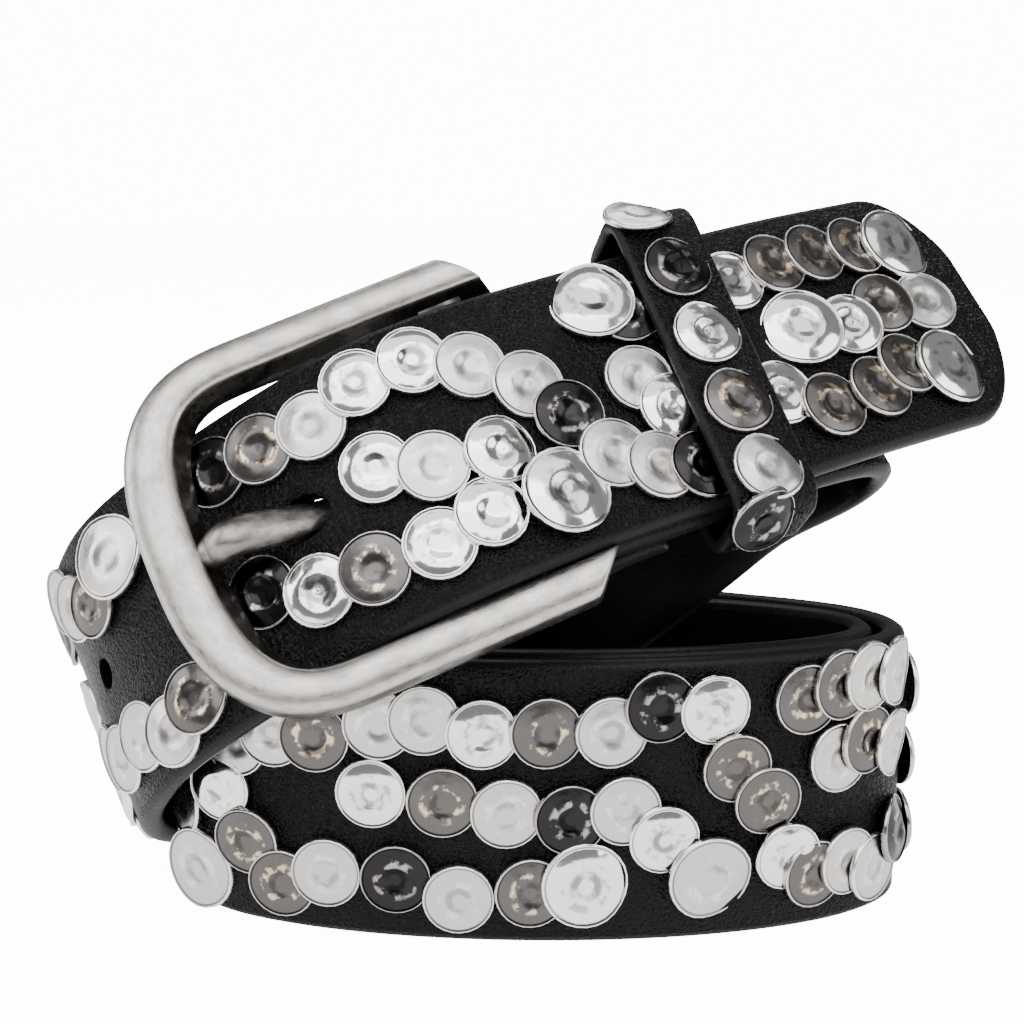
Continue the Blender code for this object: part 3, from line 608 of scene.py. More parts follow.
# Runs from left to right: behind the tip and across (shares of the strap's width), finish, and the
# size of a large one
STUD_RUNS = {
    "front_arc": (
        (2.90, 0.316, DARK), (2.72, 0.295, GUNMETAL), (2.53, 0.270, PEARL), (2.35, 0.331, CHROME),
        (2.16, 0.324, CHROME), (2.00, 0.237, PEARL), (1.85, 0.106, PEARL), (1.77, -0.041, DARK),
        (1.69, -0.221, PEARL), (1.56, -0.311, PEARL), (1.42, -0.358, DARK),
    ),
    "front_middle": (
        (2.40, 0.033, CHROME), (2.24, -0.049, PEARL), (2.03, -0.083, CHROME),
    ),
    "front_lower": (
        (2.90, -0.145, DARK), (2.72, -0.243, CHROME), (2.53, -0.273, GUNMETAL), (2.32, -0.297, CHROME),
        (2.14, -0.269, CHROME), (1.90, -0.298, CHROME, LARGE),
    ),
    "front_upper": (
        (1.40, 0.258, DARK), (1.50, 0.334, CHROME, LARGE),
    ),
    "front_right": (
        (1.48, 0.008, PEARL), (1.42, -0.129, CHROME),
    ),
    "tip_upper": (
        (0.98, 0.261, CHROME), (0.79, 0.284, GUNMETAL), (0.61, 0.288, GUNMETAL),
        (0.42, 0.282, GUNMETAL), (0.24, 0.253, CHROME, LARGE),
    ),
    "tip_middle": (
        (0.26, -0.003, PEARL), (0.45, 0.026, GUNMETAL), (0.63, -0.025, CHROME),
        (0.82, 0.012, CHROME, LARGE),
    ),
    "tip_lower": (
        (1.03, -0.199, CHROME), (0.87, -0.299, GUNMETAL), (0.66, -0.283, GUNMETAL),
        (0.50, -0.225, GUNMETAL), (0.32, -0.280, CHROME, LARGE),
    ),
    "curl_upper": (
        (3.80, 0.351, PEARL), (3.69, 0.269, PEARL), (3.56, 0.210, GUNMETAL),
        (3.40, 0.295, PEARL, LARGE),
    ),
    "curl_lower": (
        (3.88, -0.242, PEARL), (3.745, -0.298, PEARL), (3.56, -0.307, PEARL), (3.40, -0.369, PEARL),
        (3.27, -0.323, GUNMETAL),
    ),
    "ring_wave": (
        (9.92, 0.164, PEARL), (9.78, 0.219, PEARL), (9.63, 0.218, GUNMETAL), (9.41, 0.280, PEARL),
        (9.26, 0.303, PEARL), (9.07, 0.260, CHROME), (8.86, 0.266, GUNMETAL), (8.65, 0.267, PEARL),
        (8.49, 0.350, DARK), (8.31, 0.333, CHROME), (8.23, 0.123, GUNMETAL), (8.12, -0.002, GUNMETAL),
        (8.04, -0.213, CHROME), (7.94, -0.293, GUNMETAL), (7.81, -0.271, PEARL), (7.70, -0.323, PEARL),
        (7.58, -0.220, DARK),
    ),
    "ring_middle": (
        (9.44, 0.034, CHROME), (9.20, 0.016, GUNMETAL), (8.99, -0.017, PEARL), (8.78, -0.037, DARK),
        (8.60, -0.009, PEARL), (8.47, -0.115, CHROME), (8.31, -0.266, PEARL, LARGE),
    ),
    "ring_lower": (
        (10.18, -0.126, PEARL), (9.99, -0.015, CHROME), (9.89, -0.192, GUNMETAL),
        (9.76, -0.325, GUNMETAL), (9.60, -0.266, PEARL), (9.36, -0.267, DARK), (9.15, -0.328, PEARL),
        (8.91, -0.300, GUNMETAL), (8.73, -0.272, CHROME, LARGE),
    ),
    "ring_left": (
        (10.36, -0.300, PEARL), (10.10, -0.348, PEARL, LARGE),
    ),
    "ring_end_upper": (
        (7.99, 0.340, GUNMETAL), (7.86, 0.376, GUNMETAL), (7.75, 0.388, PEARL), (7.62, 0.380, PEARL),
    ),
    "ring_end_middle": (
        (7.86, 0.115, PEARL), (7.75, 0.162, GUNMETAL), (7.62, 0.120, PEARL),
    ),
}
FINISH_ROUND = (PEARL, CHROME, GUNMETAL, PEARL, DARK, CHROME, PEARL, GUNMETAL, CHROME, DARK)

# Wavy rows out of the front's sight: first and last behind the tip, middle across, wave across
WAVY_ROWS = ((7.42, 4.05, 0.30, 0.06), (7.40, 4.02, -0.03, 0.05), (7.42, 4.05, -0.31, 0.045))
LEFT_ROWS = ((12.3, 10.15, 0.28, 0.05), (12.3, 10.35, -0.02, 0.05), (12.3, 10.55, -0.30, 0.04))
WAVY_SPACING = 0.185
WAVE_LENGTH = 1.9


def wavy_run(first, last, middle, wave, offset):
    count = int((first - last) / WAVY_SPACING) + 1
    run = []
    for i in range(count):
        behind = first - i * WAVY_SPACING
        across = middle + wave * math.sin(2 * math.pi * behind / WAVE_LENGTH + offset)
        finish = FINISH_ROUND[(i * 3 + int(offset * 2)) % len(FINISH_ROUND)]
        run.append((behind, across, finish))
    return tuple(run)


for number, row in enumerate(WAVY_ROWS):
    STUD_RUNS[f"behind_{number + 1}"] = wavy_run(*row, number * 1.1)
for number, row in enumerate(LEFT_ROWS):
    STUD_RUNS[f"ring_left_{number + 1}"] = wavy_run(*row, 2 + number * 1.3)


def stud_form(name, profile, press):
    """One stud of radius one, facing +Z; pressed down towards +X where the next one lies on it."""
    points, faces, places = [(0, 0, profile[0][1])], [], [(0.0, 0.0, 0.0)]
    for radius, height in profile[1:]:
        for side in range(STUD_SIDES):
            angle = 2 * math.pi * side / STUD_SIDES
            x, y = radius * math.cos(angle), radius * math.sin(angle)
            reach = min(1.0, max(0.0, (x - 0.16) / 0.84))
            swirl = SWIRL * math.exp(-((radius - 0.38) / 0.2) ** 2)
            swirl *= math.cos(angle - 0.9 - 3.2 * radius)
            points.append((x, y, height + swirl - press * reach * reach * (3 - 2 * reach)))
            places.append((x, y, height))
    for side in range(STUD_SIDES):
        faces.append((0, 1 + side, 1 + (side + 1) % STUD_SIDES))
    for ring in range(len(profile) - 2):
        near = 1 + ring * STUD_SIDES
        for side in range(STUD_SIDES):
            other = (side + 1) % STUD_SIDES
            faces.append((near + side, near + STUD_SIDES + side, near + STUD_SIDES + other, near + other))
    faces.append(tuple(len(points) - 1 - side for side in range(STUD_SIDES)))
    mesh = bpy.data.meshes.new(name)
    mesh.from_pydata(points, [], faces)
    layer = mesh.attributes.new("stud_place", "FLOAT_VECTOR", "POINT")
    layer.data.foreach_set("vector", np.array(places, dtype=np.float32).ravel())
    for face in mesh.polygons:
        face.use_smooth = len(face.vertices) < 5
    return add_object(name, mesh)


def stud_setter():
    """Sets the right form of stud on every point, turned and sized by the point's own values."""
    tree = bpy.data.node_groups.new("stud_setter", "GeometryNodeTree")
    face = tree.interface
    face.new_socket("Geometry", in_out="INPUT", socket_type="NodeSocketGeometry")
    face.new_socket("Whole stud", in_out="INPUT", socket_type="NodeSocketObject")
    face.new_socket("Pressed stud", in_out="INPUT", socket_type="NodeSocketObject")
    face.new_socket("Size", in_out="INPUT", socket_type="NodeSocketFloat").default_value = 1.0
    face.new_socket("Metal", in_out="INPUT", socket_type="NodeSocketMaterial")
    face.new_socket("Geometry", in_out="OUTPUT", socket_type="NodeSocketGeometry")
    given = tree.nodes.new("NodeGroupInput").outputs
    both = tree.nodes.new("GeometryNodeJoinGeometry")
    for label in ("Pressed stud", "Whole stud"):
        form = add_node(tree, "GeometryNodeObjectInfo", {"As Instance": True, "Object": given[label]})
        tree.links.new(form.outputs["Geometry"], both.inputs["Geometry"])

    def point_value(label, kind):
        named = add_node(tree, "GeometryNodeInputNamedAttribute", data_type=kind)
        named.inputs["Name"].default_value = label
        return named.outputs["Attribute"]

    sizes = {0: point_value("stud_size", "FLOAT_VECTOR"), "Scale": given["Size"]}
    setting = add_node(tree, "GeometryNodeInstanceOnPoints", {
        "Pick Instance": True,
        "Points": given["Geometry"],
        "Instance": both.outputs["Geometry"],
        "Instance Index": point_value("stud_pressed", "INT"),
        "Rotation": point_value("stud_turn", "FLOAT_VECTOR"),
        "Scale": add_node(tree, "ShaderNodeVectorMath", sizes, operation="SCALE").outputs[0],
    })
    whole = add_node(tree, "GeometryNodeRealizeInstances", {"Geometry": setting.outputs["Instances"]})
    metal = add_node(tree, "GeometryNodeSetMaterial", {
        "Geometry": whole.outputs["Geometry"], "Material": given["Metal"],
    })
    fill(tree, tree.nodes.new("NodeGroupOutput"), {"Geometry": metal.outputs["Geometry"]})
    return tree


class StudPoint:
    """Where one stud sits, how it is turned and sized, and its form: pressed by the next, or whole."""

    def __init__(self, place, along, across, out, heading, radius, tilt, form, number):
        forward = unit(np.cos(heading) * along + np.sin(heading) * across)
        lifted = out * math.cos(tilt) + forward * math.sin(tilt)
        forward = forward * math.cos(tilt) - out * math.sin(tilt)
        turn = Matrix((forward, np.cross(lifted, forward), lifted)).transposed()
        self.place = place + out * radius * math.sin(tilt) * 0.9
        self.turn = turn.to_euler()
        self.size = (radius, radius, STUD_RADIUS)
        self.form = form
        self.seed = number * 0.61803 % 1


def strap_stud_points():
    points = {}
    number = 0
    for label, run in STUD_RUNS.items():
        for i, (behind, across_share, finish, *size) in enumerate(run):
            before, after = run[max(i - 1, 0)], run[min(i + 1, len(run) - 1)]
            heading = math.atan2(after[1] - before[1], before[0] - after[0])
            at = route.length - behind * STRAP_WIDTH
            radius = size[0] if size else STUD_RADIUS
            lift = LARGE_STUD_LIFT if label == "front_lower" and size else 0.0
            place = route.point(at, across_share * STRAP_WIDTH, STRAP_THICKNESS / 2 + lift)
            form = PRESSED if i < len(run) - 1 else WHOLE
            tilt = STUD_TILT * (FIRST_STUD_TILT if i == 0 else 1.0)
            number += 1
            points.setdefault(finish, []).append(StudPoint(
                place, *route.axes(at), heading, radius, tilt, form, number,
            ))
    return points


def set_studs(name, points, forms, tree, metal):
    """The studs of one finish, as one mesh made by the tree."""
    mesh = bpy.data.meshes.new(name)
    mesh.from_pydata([tuple(point.place) for point in points], [], [])
    for label, kind, field, values in (
        ("stud_turn", "FLOAT_VECTOR", "vector", [value for point in points for value in point.turn]),
        ("stud_size", "FLOAT_VECTOR", "vector", [value for point in points for value in point.size]),
        ("stud_pressed", "INT", "value", [point.form for point in points]),
        ("stud_seed", "FLOAT", "value", [point.seed for point in points]),
    ):
        mesh.attributes.new(label, kind, "POINT").data.foreach_set(field, values)
    studs = add_object(name, mesh)
    modifier = studs.modifiers.new("stud_setter", "NODES")
    modifier.node_group = tree
    sockets = {
        item.name: item.identifier for item in tree.interface.items_tree if item.in_out == "INPUT"
    }
    modifier[sockets["Whole stud"]] = forms[WHOLE]
    modifier[sockets["Pressed stud"]] = forms[PRESSED]
    modifier[sockets["Metal"]] = metal
    settle(studs)
    studs.data.name = name
    return studs


def pressed_disc():
    """Masks over one disc: painted shade in its hollow, painted arcs and wear on its middle ring, a
    painted highlight on its rolled edge, painted shade in its groove, its smears, and its uneven face.
    """
    masks = ("Hollow shade", "Painted arcs and wear", "Rim highlight", "Groove shade", "Smear", "Height")
    group, given, result = add_group(
        "pressed_disc",
        [("Place", "NodeSocketVector", None), ("Own place", "NodeSocketVector", None)],
        [(label, "NodeSocketFloat") for label in masks],
    )
    flat = add_node(
        group, "ShaderNodeVectorMath", {0: given.outputs["Place"], 1: (1, 1, 0)}, operation="MULTIPLY",
    ).outputs[0]
    reach = add_node(group, "ShaderNodeVectorMath", {0: flat}, operation="LENGTH").outputs["Value"]
    own_place = given.outputs["Own place"]
    smear = noise(group, own_place, 1.6, 4).outputs["Fac"]
    patchy = noise(group, own_place, 3.4, 3).outputs["Fac"]
    uneven_reach = worked(group, "MULTIPLY_ADD", smear, 0.22, reach)

    def band(inner, low, high, outer, measure):
        rise = mapped(group, measure, inner, low, interpolation_type="SMOOTHSTEP")
        fall = mapped(group, measure, high, outer, 1.0, 0.0, interpolation_type="SMOOTHSTEP")
        return worked(group, "MULTIPLY", rise, fall)

    # curl shapes the painted shade in the dent into a broken C; patches break up the painted arcs on the
    # middle ring.
    curl = mapped(group, smear, 0.44, 0.56)
    patches = mapped(group, patchy, 0.50, 0.60)
    fill(group, result, {
        "Hollow shade": worked(group, "MULTIPLY", band(0.26, 0.34, 0.44, 0.56, uneven_reach), curl),
        "Painted arcs and wear": worked(group, "MULTIPLY", band(0.46, 0.54, 0.64, 0.76, uneven_reach), patches),
        "Rim highlight": band(0.935, 0.950, 1.2, 1.4, reach),
        "Groove shade": band(0.870, 0.895, 0.920, 0.945, reach),
        "Smear": smear,
        "Height": noise(group, own_place, 2.1, 1.5).outputs["Fac"],
    })
    return group


def stud_metal(name, disc, base, painted_arc_and_wear_tone, painted_rim_highlight, rough, painted_arc_and_wear_strength, hollow_shade_tone):
    """A pressed disc's metal: smeared by handling, with painted shade in its dent and groove, painted arcs
    and wear on its middle ring and a painted highlight on its rolled edge.
    """
    material = plain_material(name, base, rough)
    tree = material.node_tree
    place = attribute(tree, "stud_place", "Vector")
    seed = attribute(tree, "stud_seed", "Vector")
    own_place = add_node(
        tree, "ShaderNodeVectorMath", {0: seed, 1: (23, 41, 17), 2: place}, operation="MULTIPLY_ADD",
    ).outputs[0]
    sockets = {"Place": place, "Own place": own_place}
    surface = add_node(tree, "ShaderNodeGroup", sockets, node_tree=disc).outputs
    # Painted shade in the dent, darker than the finish's own colour.
    tone = mixed(tree, surface["Hollow shade"], (*base, 1), (*hollow_shade_tone, 1))
    # Painted arcs of reflection on the middle ring, dark on chrome and light on the others; on gunmetal
    # the tan is partly wear and partly painted glint.
    tone = mixed(tree, worked(tree, "MULTIPLY", surface["Painted arcs and wear"], painted_arc_and_wear_strength), tone, (*painted_arc_and_wear_tone, 1))
    # Painted highlight on the rolled edge.
    tone = mixed(tree, surface["Rim highlight"], tone, (*painted_rim_highlight, 1))
    # Painted shade in the groove inside the rim.
    tone = mixed(tree, surface["Groove shade"], tone, (*(GROOVE_PAINTED_SHADE * part for part in base), 1))
    fill(tree, tree.nodes["Principled BSDF"], {
        "Metallic": 1.0,
        "Base Color": tone,
        "Roughness": mapped(tree, surface["Smear"], to_low=rough * 0.7, to_high=rough * 1.5),
        "Normal": bumped(tree, surface["Height"], 0.5, 0.0002),
    })
    return material


setter = stud_setter()
stud_points = strap_stud_points()
# Each finish's colour, then the tone and strength of its painted arcs (gunmetal's tan partly wear), its
# painted rim highlight and its dent's painted shade.
STUD_FINISHES = {
    CHROME: ("domed", dict(
        base=(0.93, 0.92, 0.90), painted_arc_and_wear_tone=(0.34, 0.33, 0.32), painted_rim_highlight=(0.97, 0.97, 0.96),
        rough=0.11, painted_arc_and_wear_strength=0.75, hollow_shade_tone=(0.30, 0.29, 0.28),
    )),
    PEARL: ("ringed", dict(
        base=(0.60, 0.58, 0.56), painted_arc_and_wear_tone=(0.84, 0.82, 0.80), painted_rim_highlight=(0.90, 0.89, 0.87),
        rough=0.25, painted_arc_and_wear_strength=0.8, hollow_shade_tone=(0.36, 0.345, 0.33),
    )),
    GUNMETAL: ("dented", dict(
        base=(0.120, 0.112, 0.109), painted_arc_and_wear_tone=(0.80, 0.62, 0.44), painted_rim_highlight=(0.66, 0.63, 0.60),
        rough=0.24, painted_arc_and_wear_strength=0.9, hollow_shade_tone=(0.070, 0.065, 0.062),
    )),
    DARK: ("dented", dict(
        base=(0.028, 0.026, 0.026), painted_arc_and_wear_tone=(0.42, 0.40, 0.39), painted_rim_highlight=(0.40, 0.38, 0.37),
        rough=0.17, painted_arc_and_wear_strength=0.85, hollow_shade_tone=(0.012, 0.012, 0.012),
    )),
}
stud_forms = {
    label: (
        stud_form(f"pressed_{label}_form", profile, STUD_PRESS),
        stud_form(f"whole_{label}_form", profile, 0.0),
    )
    for label, profile in STUD_PROFILES.items()
}
disc_group = pressed_disc()
stud_metals = {
    finish: stud_metal(f"{finish}_stud_metal", disc_group, **look)
    for finish, (form, look) in STUD_FINISHES.items()
}
for finish, (form, look) in STUD_FINISHES.items():
    studs = set_studs(
        f"strap_studs_{finish}", stud_points[finish], stud_forms[form], setter, stud_metals[finish],
    )
    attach(studs, "root")


# The keeper is a narrow band of the same leather round both layers of the strap, with its own
# studs: four in front and one turned over each end.
KEEPER_WIDTH = 0.0116
KEEPER_THICKNESS = 0.0019
KEEPER_SKEW = math.radians(-5.0)
KEEPER_BEHIND_TIP = 1.215 * STRAP_WIDTH
KEEPER_HALF = STRAP_WIDTH / 2 + 0.0026 + KEEPER_THICKNESS / 2
KEEPER_FRONT = STRAP_THICKNESS / 2 + 0.0014 + KEEPER_THICKNESS / 2
KEEPER_BACK = -LAYER_PITCH - STRAP_THICKNESS / 2 - 0.0008 - KEEPER_THICKNESS / 2
KEEPER_GRAIN_SHIFT = 0.3
KEEPER_CORNER = 0.27 * (KEEPER_FRONT - KEEPER_BACK)

# Across (share of half the strap's width), along (share of the keeper's width), turn over the end
# in degrees, finish, form
KEEPER_STUDS = (
    (0.985, -0.16, 34, PEARL, "ringed"), (0.66, 0.0, 0, DARK, "dented"),
    (0.12, 0.0, 0, CHROME, "dented"), (-0.42, 0.0, 0, GUNMETAL, "dented"),
    (-0.93, 0.0, 0, PEARL, "ringed"), (-1.0, -0.20, 66, DARK, "ringed"),
)
KEEPER_STUD_HEADING = 0.4
FIRST_KEEPER_STUD = 200


def keeper_axes():
    at = route.length - KEEPER_BEHIND_TIP
    along, across, out = route.axes(at)
    turned = along * math.cos(KEEPER_SKEW) + across * math.sin(KEEPER_SKEW)
    middle = route.point(at, 0.0, 0.0)
    return middle, turned, np.cross(out, turned), out


def make_keeper():
    middle, along, across, out = keeper_axes()
    line = []
    for side_across, side_out, start in (
        (1, 1, 0), (-1, 1, 90), (-1, -1, 180), (1, -1, 270),
    ):
        centre = np.array([
            side_across * (KEEPER_HALF - KEEPER_CORNER),
            (KEEPER_FRONT - KEEPER_CORNER) if side_out > 0 else (KEEPER_BACK + KEEPER_CORNER),
        ])
        for degrees in range(0, 91, 9):
            angle = math.radians(start + degrees)
            line.append(centre + KEEPER_CORNER * np.array([math.cos(angle), math.sin(angle)]))
        if side_out > 0 and side_across > 0:
            for share in np.linspace(0.06, 0.94, 16):
                line.append(np.array([(1 - 2 * share) * (KEEPER_HALF - KEEPER_CORNER), KEEPER_FRONT]))
    line = np.array(line)
    normals = np.roll(line, -1, axis=0) - np.roll(line, 1, axis=0)
    normals = unit(np.stack([normals[:, 1], -normals[:, 0]], 1))
    travelled = np.r_[0, np.cumsum(np.linalg.norm(np.diff(line, axis=0), axis=1))]
    section = rounded_band_section(KEEPER_WIDTH / 2, KEEPER_THICKNESS, 0.0007, 8)
    rows = []
    for place, normal, reach in zip(line, normals, travelled):
        spots = place + normal * section[:, 1:2]
        points = middle + along * section[:, :1] + across * spots[:, :1] + out * spots[:, 1:2]
        rows.append((points, section, 0.0, section[:, 0] + KEEPER_GRAIN_SHIFT, reach))
    return skin_band("keeper_leather", rows, True)


def keeper_stud_point(across_share, along_share, turn_deg, number):
    middle, along, across, out = keeper_axes()
    angle = math.radians(turn_deg)
    side = math.copysign(1, across_share)
    y = across_share * STRAP_WIDTH / 2
    z = KEEPER_FRONT + KEEPER_THICKNESS / 2
    if turn_deg:
        reach = KEEPER_CORNER + KEEPER_THICKNESS / 2
        y = side * (KEEPER_HALF - KEEPER_CORNER + reach * math.sin(angle))
        z = KEEPER_FRONT - KEEPER_CORNER + reach * math.cos(angle)
    place = middle + along * along_share * KEEPER_WIDTH + across * y + out * z
    facing = out * math.cos(angle) + across * side * math.sin(angle)
    sideways = np.cross(facing, along)
    return StudPoint(
        place, along, sideways, facing, KEEPER_STUD_HEADING, STUD_RADIUS, 0.0, WHOLE, number,
    )


keeper = make_keeper()
keeper.data.materials.append(leather_material("black_keeper_leather", "keeper_leather_map", grain_group))
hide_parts("keeper")
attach(keeper, "root")
for number, (across_share, along_share, turn_deg, finish, form) in enumerate(KEEPER_STUDS):
    stud = set_studs(
        f"keeper_stud_{number + 1}",
        [keeper_stud_point(across_share, along_share, turn_deg, FIRST_KEEPER_STUD + number)],
        stud_forms[form], setter, stud_metals[finish],
    )
    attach(stud, "root")
for forms in stud_forms.values():
    for form in forms:
        bpy.data.objects.remove(form)


# The buckle frame is a cast D-shaped bar of antiqued silver, broad and softly crowned in front,
# with a narrow bevel outside and a sloping wall inside, darkened by painted shade and patina. Its
# sides, back, cross bar and bosses carry painted shade. Two bosses behind its arms' ends hold the
# cross bar.
FRAME_HALF_WIDTH = 0.0222
FRAME_LENGTH = 0.049
FRAME_BOW_START = 0.0022
FRAME_BOW_LENGTH = 0.0150
FRAME_BOW_POWER = 2.7
FRAME_BAR_WIDTH = 0.0083
FRAME_ARM_WIDTH = 0.0064
FRAME_THICKNESS = 0.0048
FRAME_TILT = math.radians(15.1)
FRAME_SHIFT = 0.0011
FRAME_GIRTH = 0.024
ARM_END_SLANT = 0.9
ARM_END_REACH = 0.006
LUG_RADIUS = 0.0029
LUG_WIDTH = 0.0042
LUG_HEIGHT = 0.0062

# First and last rows of the bar, which chamfer its cut ends: share of the section, push outwards
FRAME_END_ROWS = {0: (0.90, 0.0004), 1: (0.975, 0.00025)}

# Section of the bar: across (share of half its width), out (share of half its thickness), painted shade
# and patina
FRAME_SECTION = (
    (-0.30, -1.00, 1.0), (-0.86, -1.00, 1.0), (-0.97, -0.86, 1.0), (-1.00, -0.45, 1.0), (-1.00, 0.30, 0.8),
    (-0.985, 0.46, 0.4), (-0.94, 0.60, 0.0), (-0.86, 0.72, 0.0), (-0.66, 0.87, 0.05), (-0.42, 0.96, 0.05),
    (-0.18, 1.00, 0.05), (0.06, 0.98, 0.05), (0.28, 0.91, 0.1), (0.46, 0.79, 0.1), (0.54, 0.70, 0.0),
    (0.59, 0.58, 0.6), (0.63, 0.40, 1.0), (0.84, -0.30, 1.0), (0.98, -0.80, 1.0), (0.92, -1.00, 1.0),
    (0.30, -1.00, 1.0),
)


class LoopFrame:
    """A place in the leaning loop: X along a direction, Y across the strap, Z outwards."""

    def __init__(self, along, back, across, direction):
        self.x = math.cos(direction) * LOOP_ALONG + math.sin(direction) * LOOP_BACK
        self.y = LOOP_ACROSS
        self.z = np.cross(self.x, self.y)
        self.middle = loop_point(along, back, across)

    def at(self, x, y, z):
        return self.middle + x * self.x + y * self.y + z * self.z


BOW_ALONG = -0.0180
FRAME_RISE = 0.0066
FRAME_AXES = LoopFrame(
    BOW_ALONG, BAR[1] - (BAR[0] - BOW_ALONG) * math.tan(FRAME_TILT) - FRAME_RISE, FRAME_SHIFT, FRAME_TILT,
)


def bow_line():
    """The bar's middle line from one arm's end round the bow to the other's."""
    quarter = []
    for step in range(0, 31):
        angle = math.radians(90 * (step / 30) ** 0.8)
        power = 2 / FRAME_BOW_POWER
        quarter.append((
            FRAME_BOW_START + FRAME_BOW_LENGTH * (1 - max(0.0, math.cos(angle)) ** power),
            FRAME_HALF_WIDTH * math.sin(angle) ** power,
        ))
    arm = [(place, FRAME_HALF_WIDTH) for place in np.linspace(0.019, FRAME_LENGTH, 12)]
    half = quarter + arm
    return np.array([(u, -w) for u, w in reversed(half[1:])] + half)


def make_frame():
    line = bow_line()
    gaps = np.r_[0, np.cumsum(np.linalg.norm(np.diff(line, axis=0), axis=1))]
    even = np.linspace(0, gaps[-1], 150)
    line = np.stack([np.interp(even, gaps, line[:, k]) for k in range(2)], 1)
    for _ in range(6):
        line[1:-1] = (line[:-2] + 2 * line[1:-1] + line[2:]) / 4
    directions = unit(np.gradient(line, axis=0))
    rows, shade_and_patina, uvs = [], [], []
    last = len(line) - 1
    order = [0, 0] + list(range(len(line))) + [last, last]
    girth = np.linspace(0, FRAME_GIRTH, len(FRAME_SECTION))
    for number, i in enumerate(order):
        place, direction = line[i], directions[i]
        aside = np.array([direction[1], -direction[0]])
        arm_share = abs(place[1]) / FRAME_HALF_WIDTH
        width = FRAME_BAR_WIDTH + (FRAME_ARM_WIDTH - FRAME_BAR_WIDTH) * arm_share**3
        near_end = max(0.0, 1 - (FRAME_LENGTH - place[0]) / ARM_END_REACH)
        shrink, push = FRAME_END_ROWS.get(min(number, len(order) - 1 - number), (1.0, 0.0))
        section = []
        for across, out, side in FRAME_SECTION:
            spot = place + aside * across * width / 2 * shrink
            shift = (FRAME_HALF_WIDTH - abs(spot[1])) * ARM_END_SLANT * near_end + push
            section.append(FRAME_AXES.at(spot[0] + shift, spot[1], out * shrink * FRAME_THICKNESS / 2))
        rows.append(np.array(section))
        # The section's last column: painted shade on the bar's sides and back, with dark patina on its
        # inner wall.
        shade_and_patina.append(np.array([side for across, out, side in FRAME_SECTION]))
        uvs.append(np.stack([np.full(len(section), even[i]), girth], 1) * 100)
    return skin_rows("buckle_frame_silver", rows, False, {"shade_and_patina": shade_and_patina}, uvs)


def add_bar_and_lugs(body):
    """The cross bar through the fold, and the bosses that hold it behind the arms."""
    mesh = opened(body)
    layer = mesh.verts.layers.float["shade_and_patina"]
    bar = LoopFrame(*BAR, FRAME_SHIFT, FRONT_ANGLE)
    turn = Matrix((bar.z, bar.x, bar.y)).transposed().to_4x4()
    turn.translation = Vector(bar.middle)
    made = bmesh.ops.create_cone(
        mesh, cap_ends=True, segments=28, radius1=CROSS_BAR_RADIUS, radius2=CROSS_BAR_RADIUS,
        depth=2 * FRAME_HALF_WIDTH, matrix=turn,
    )["verts"]
    lug = LoopFrame(*BAR, FRAME_SHIFT, FRAME_TILT)
    inner = FRAME_HALF_WIDTH - FRAME_ARM_WIDTH / 2
    for side in (-1, 1):
        rows = []
        for aside, trim in ((0.0, 0.88), (0.06, 1.0), (0.94, 1.0), (1.0, 0.88)):
            radius = LUG_RADIUS * trim
            turns = [math.radians(degrees) for degrees in range(180, 361, 15)]
            ring = [(radius * math.cos(angle), radius * math.sin(angle)) for angle in turns]
            ring += [(radius, LUG_HEIGHT), (-radius, LUG_HEIGHT)]
            rows.append([
                mesh.verts.new(lug.at(x, side * (inner + aside * LUG_WIDTH), z)) for x, z in ring
            ])
        stitch(mesh, rows)
        mesh.faces.new(rows[0])
        mesh.faces.new(rows[-1])
        made += [vertex for row in rows for vertex in row]
    # Painted shade on the cross bar and bosses, which lie in the strap's fold and behind the arms.
    for vertex in made:
        vertex[layer] = 0.75
    put_back(mesh, body)


def worn_silver():
    """Masks on cast silver: faint brushing, dark patina in patches, small pits."""
    group, given, result = add_group(
        "worn_silver",
        [("Place", "NodeSocketVector", None), ("Brushing", "NodeSocketFloat", 22.0)],
        [("Brushed", "NodeSocketFloat"), ("Patch", "NodeSocketFloat"), ("Pits", "NodeSocketFloat")],
    )
    place = given.outputs["Place"]
    stretched = add_node(group, "ShaderNodeMapping", {"Vector": place, "Scale": (0.45, 1.0, 1.0)})
    pits = add_node(group, "ShaderNodeTexVoronoi", {"Vector": place, "Scale": 16})
    fill(group, result, {
        "Brushed": noise(group, stretched.outputs[0], given.outputs["Brushing"], 3).outputs["Fac"],
        "Patch": noise(group, place, 2.4, 6, {"Roughness": 0.62}).outputs["Fac"],
        "Pits": mapped(group, pits.outputs["Distance"], 0.05, 0.11, 1.0, 0.0),
    })
    return group


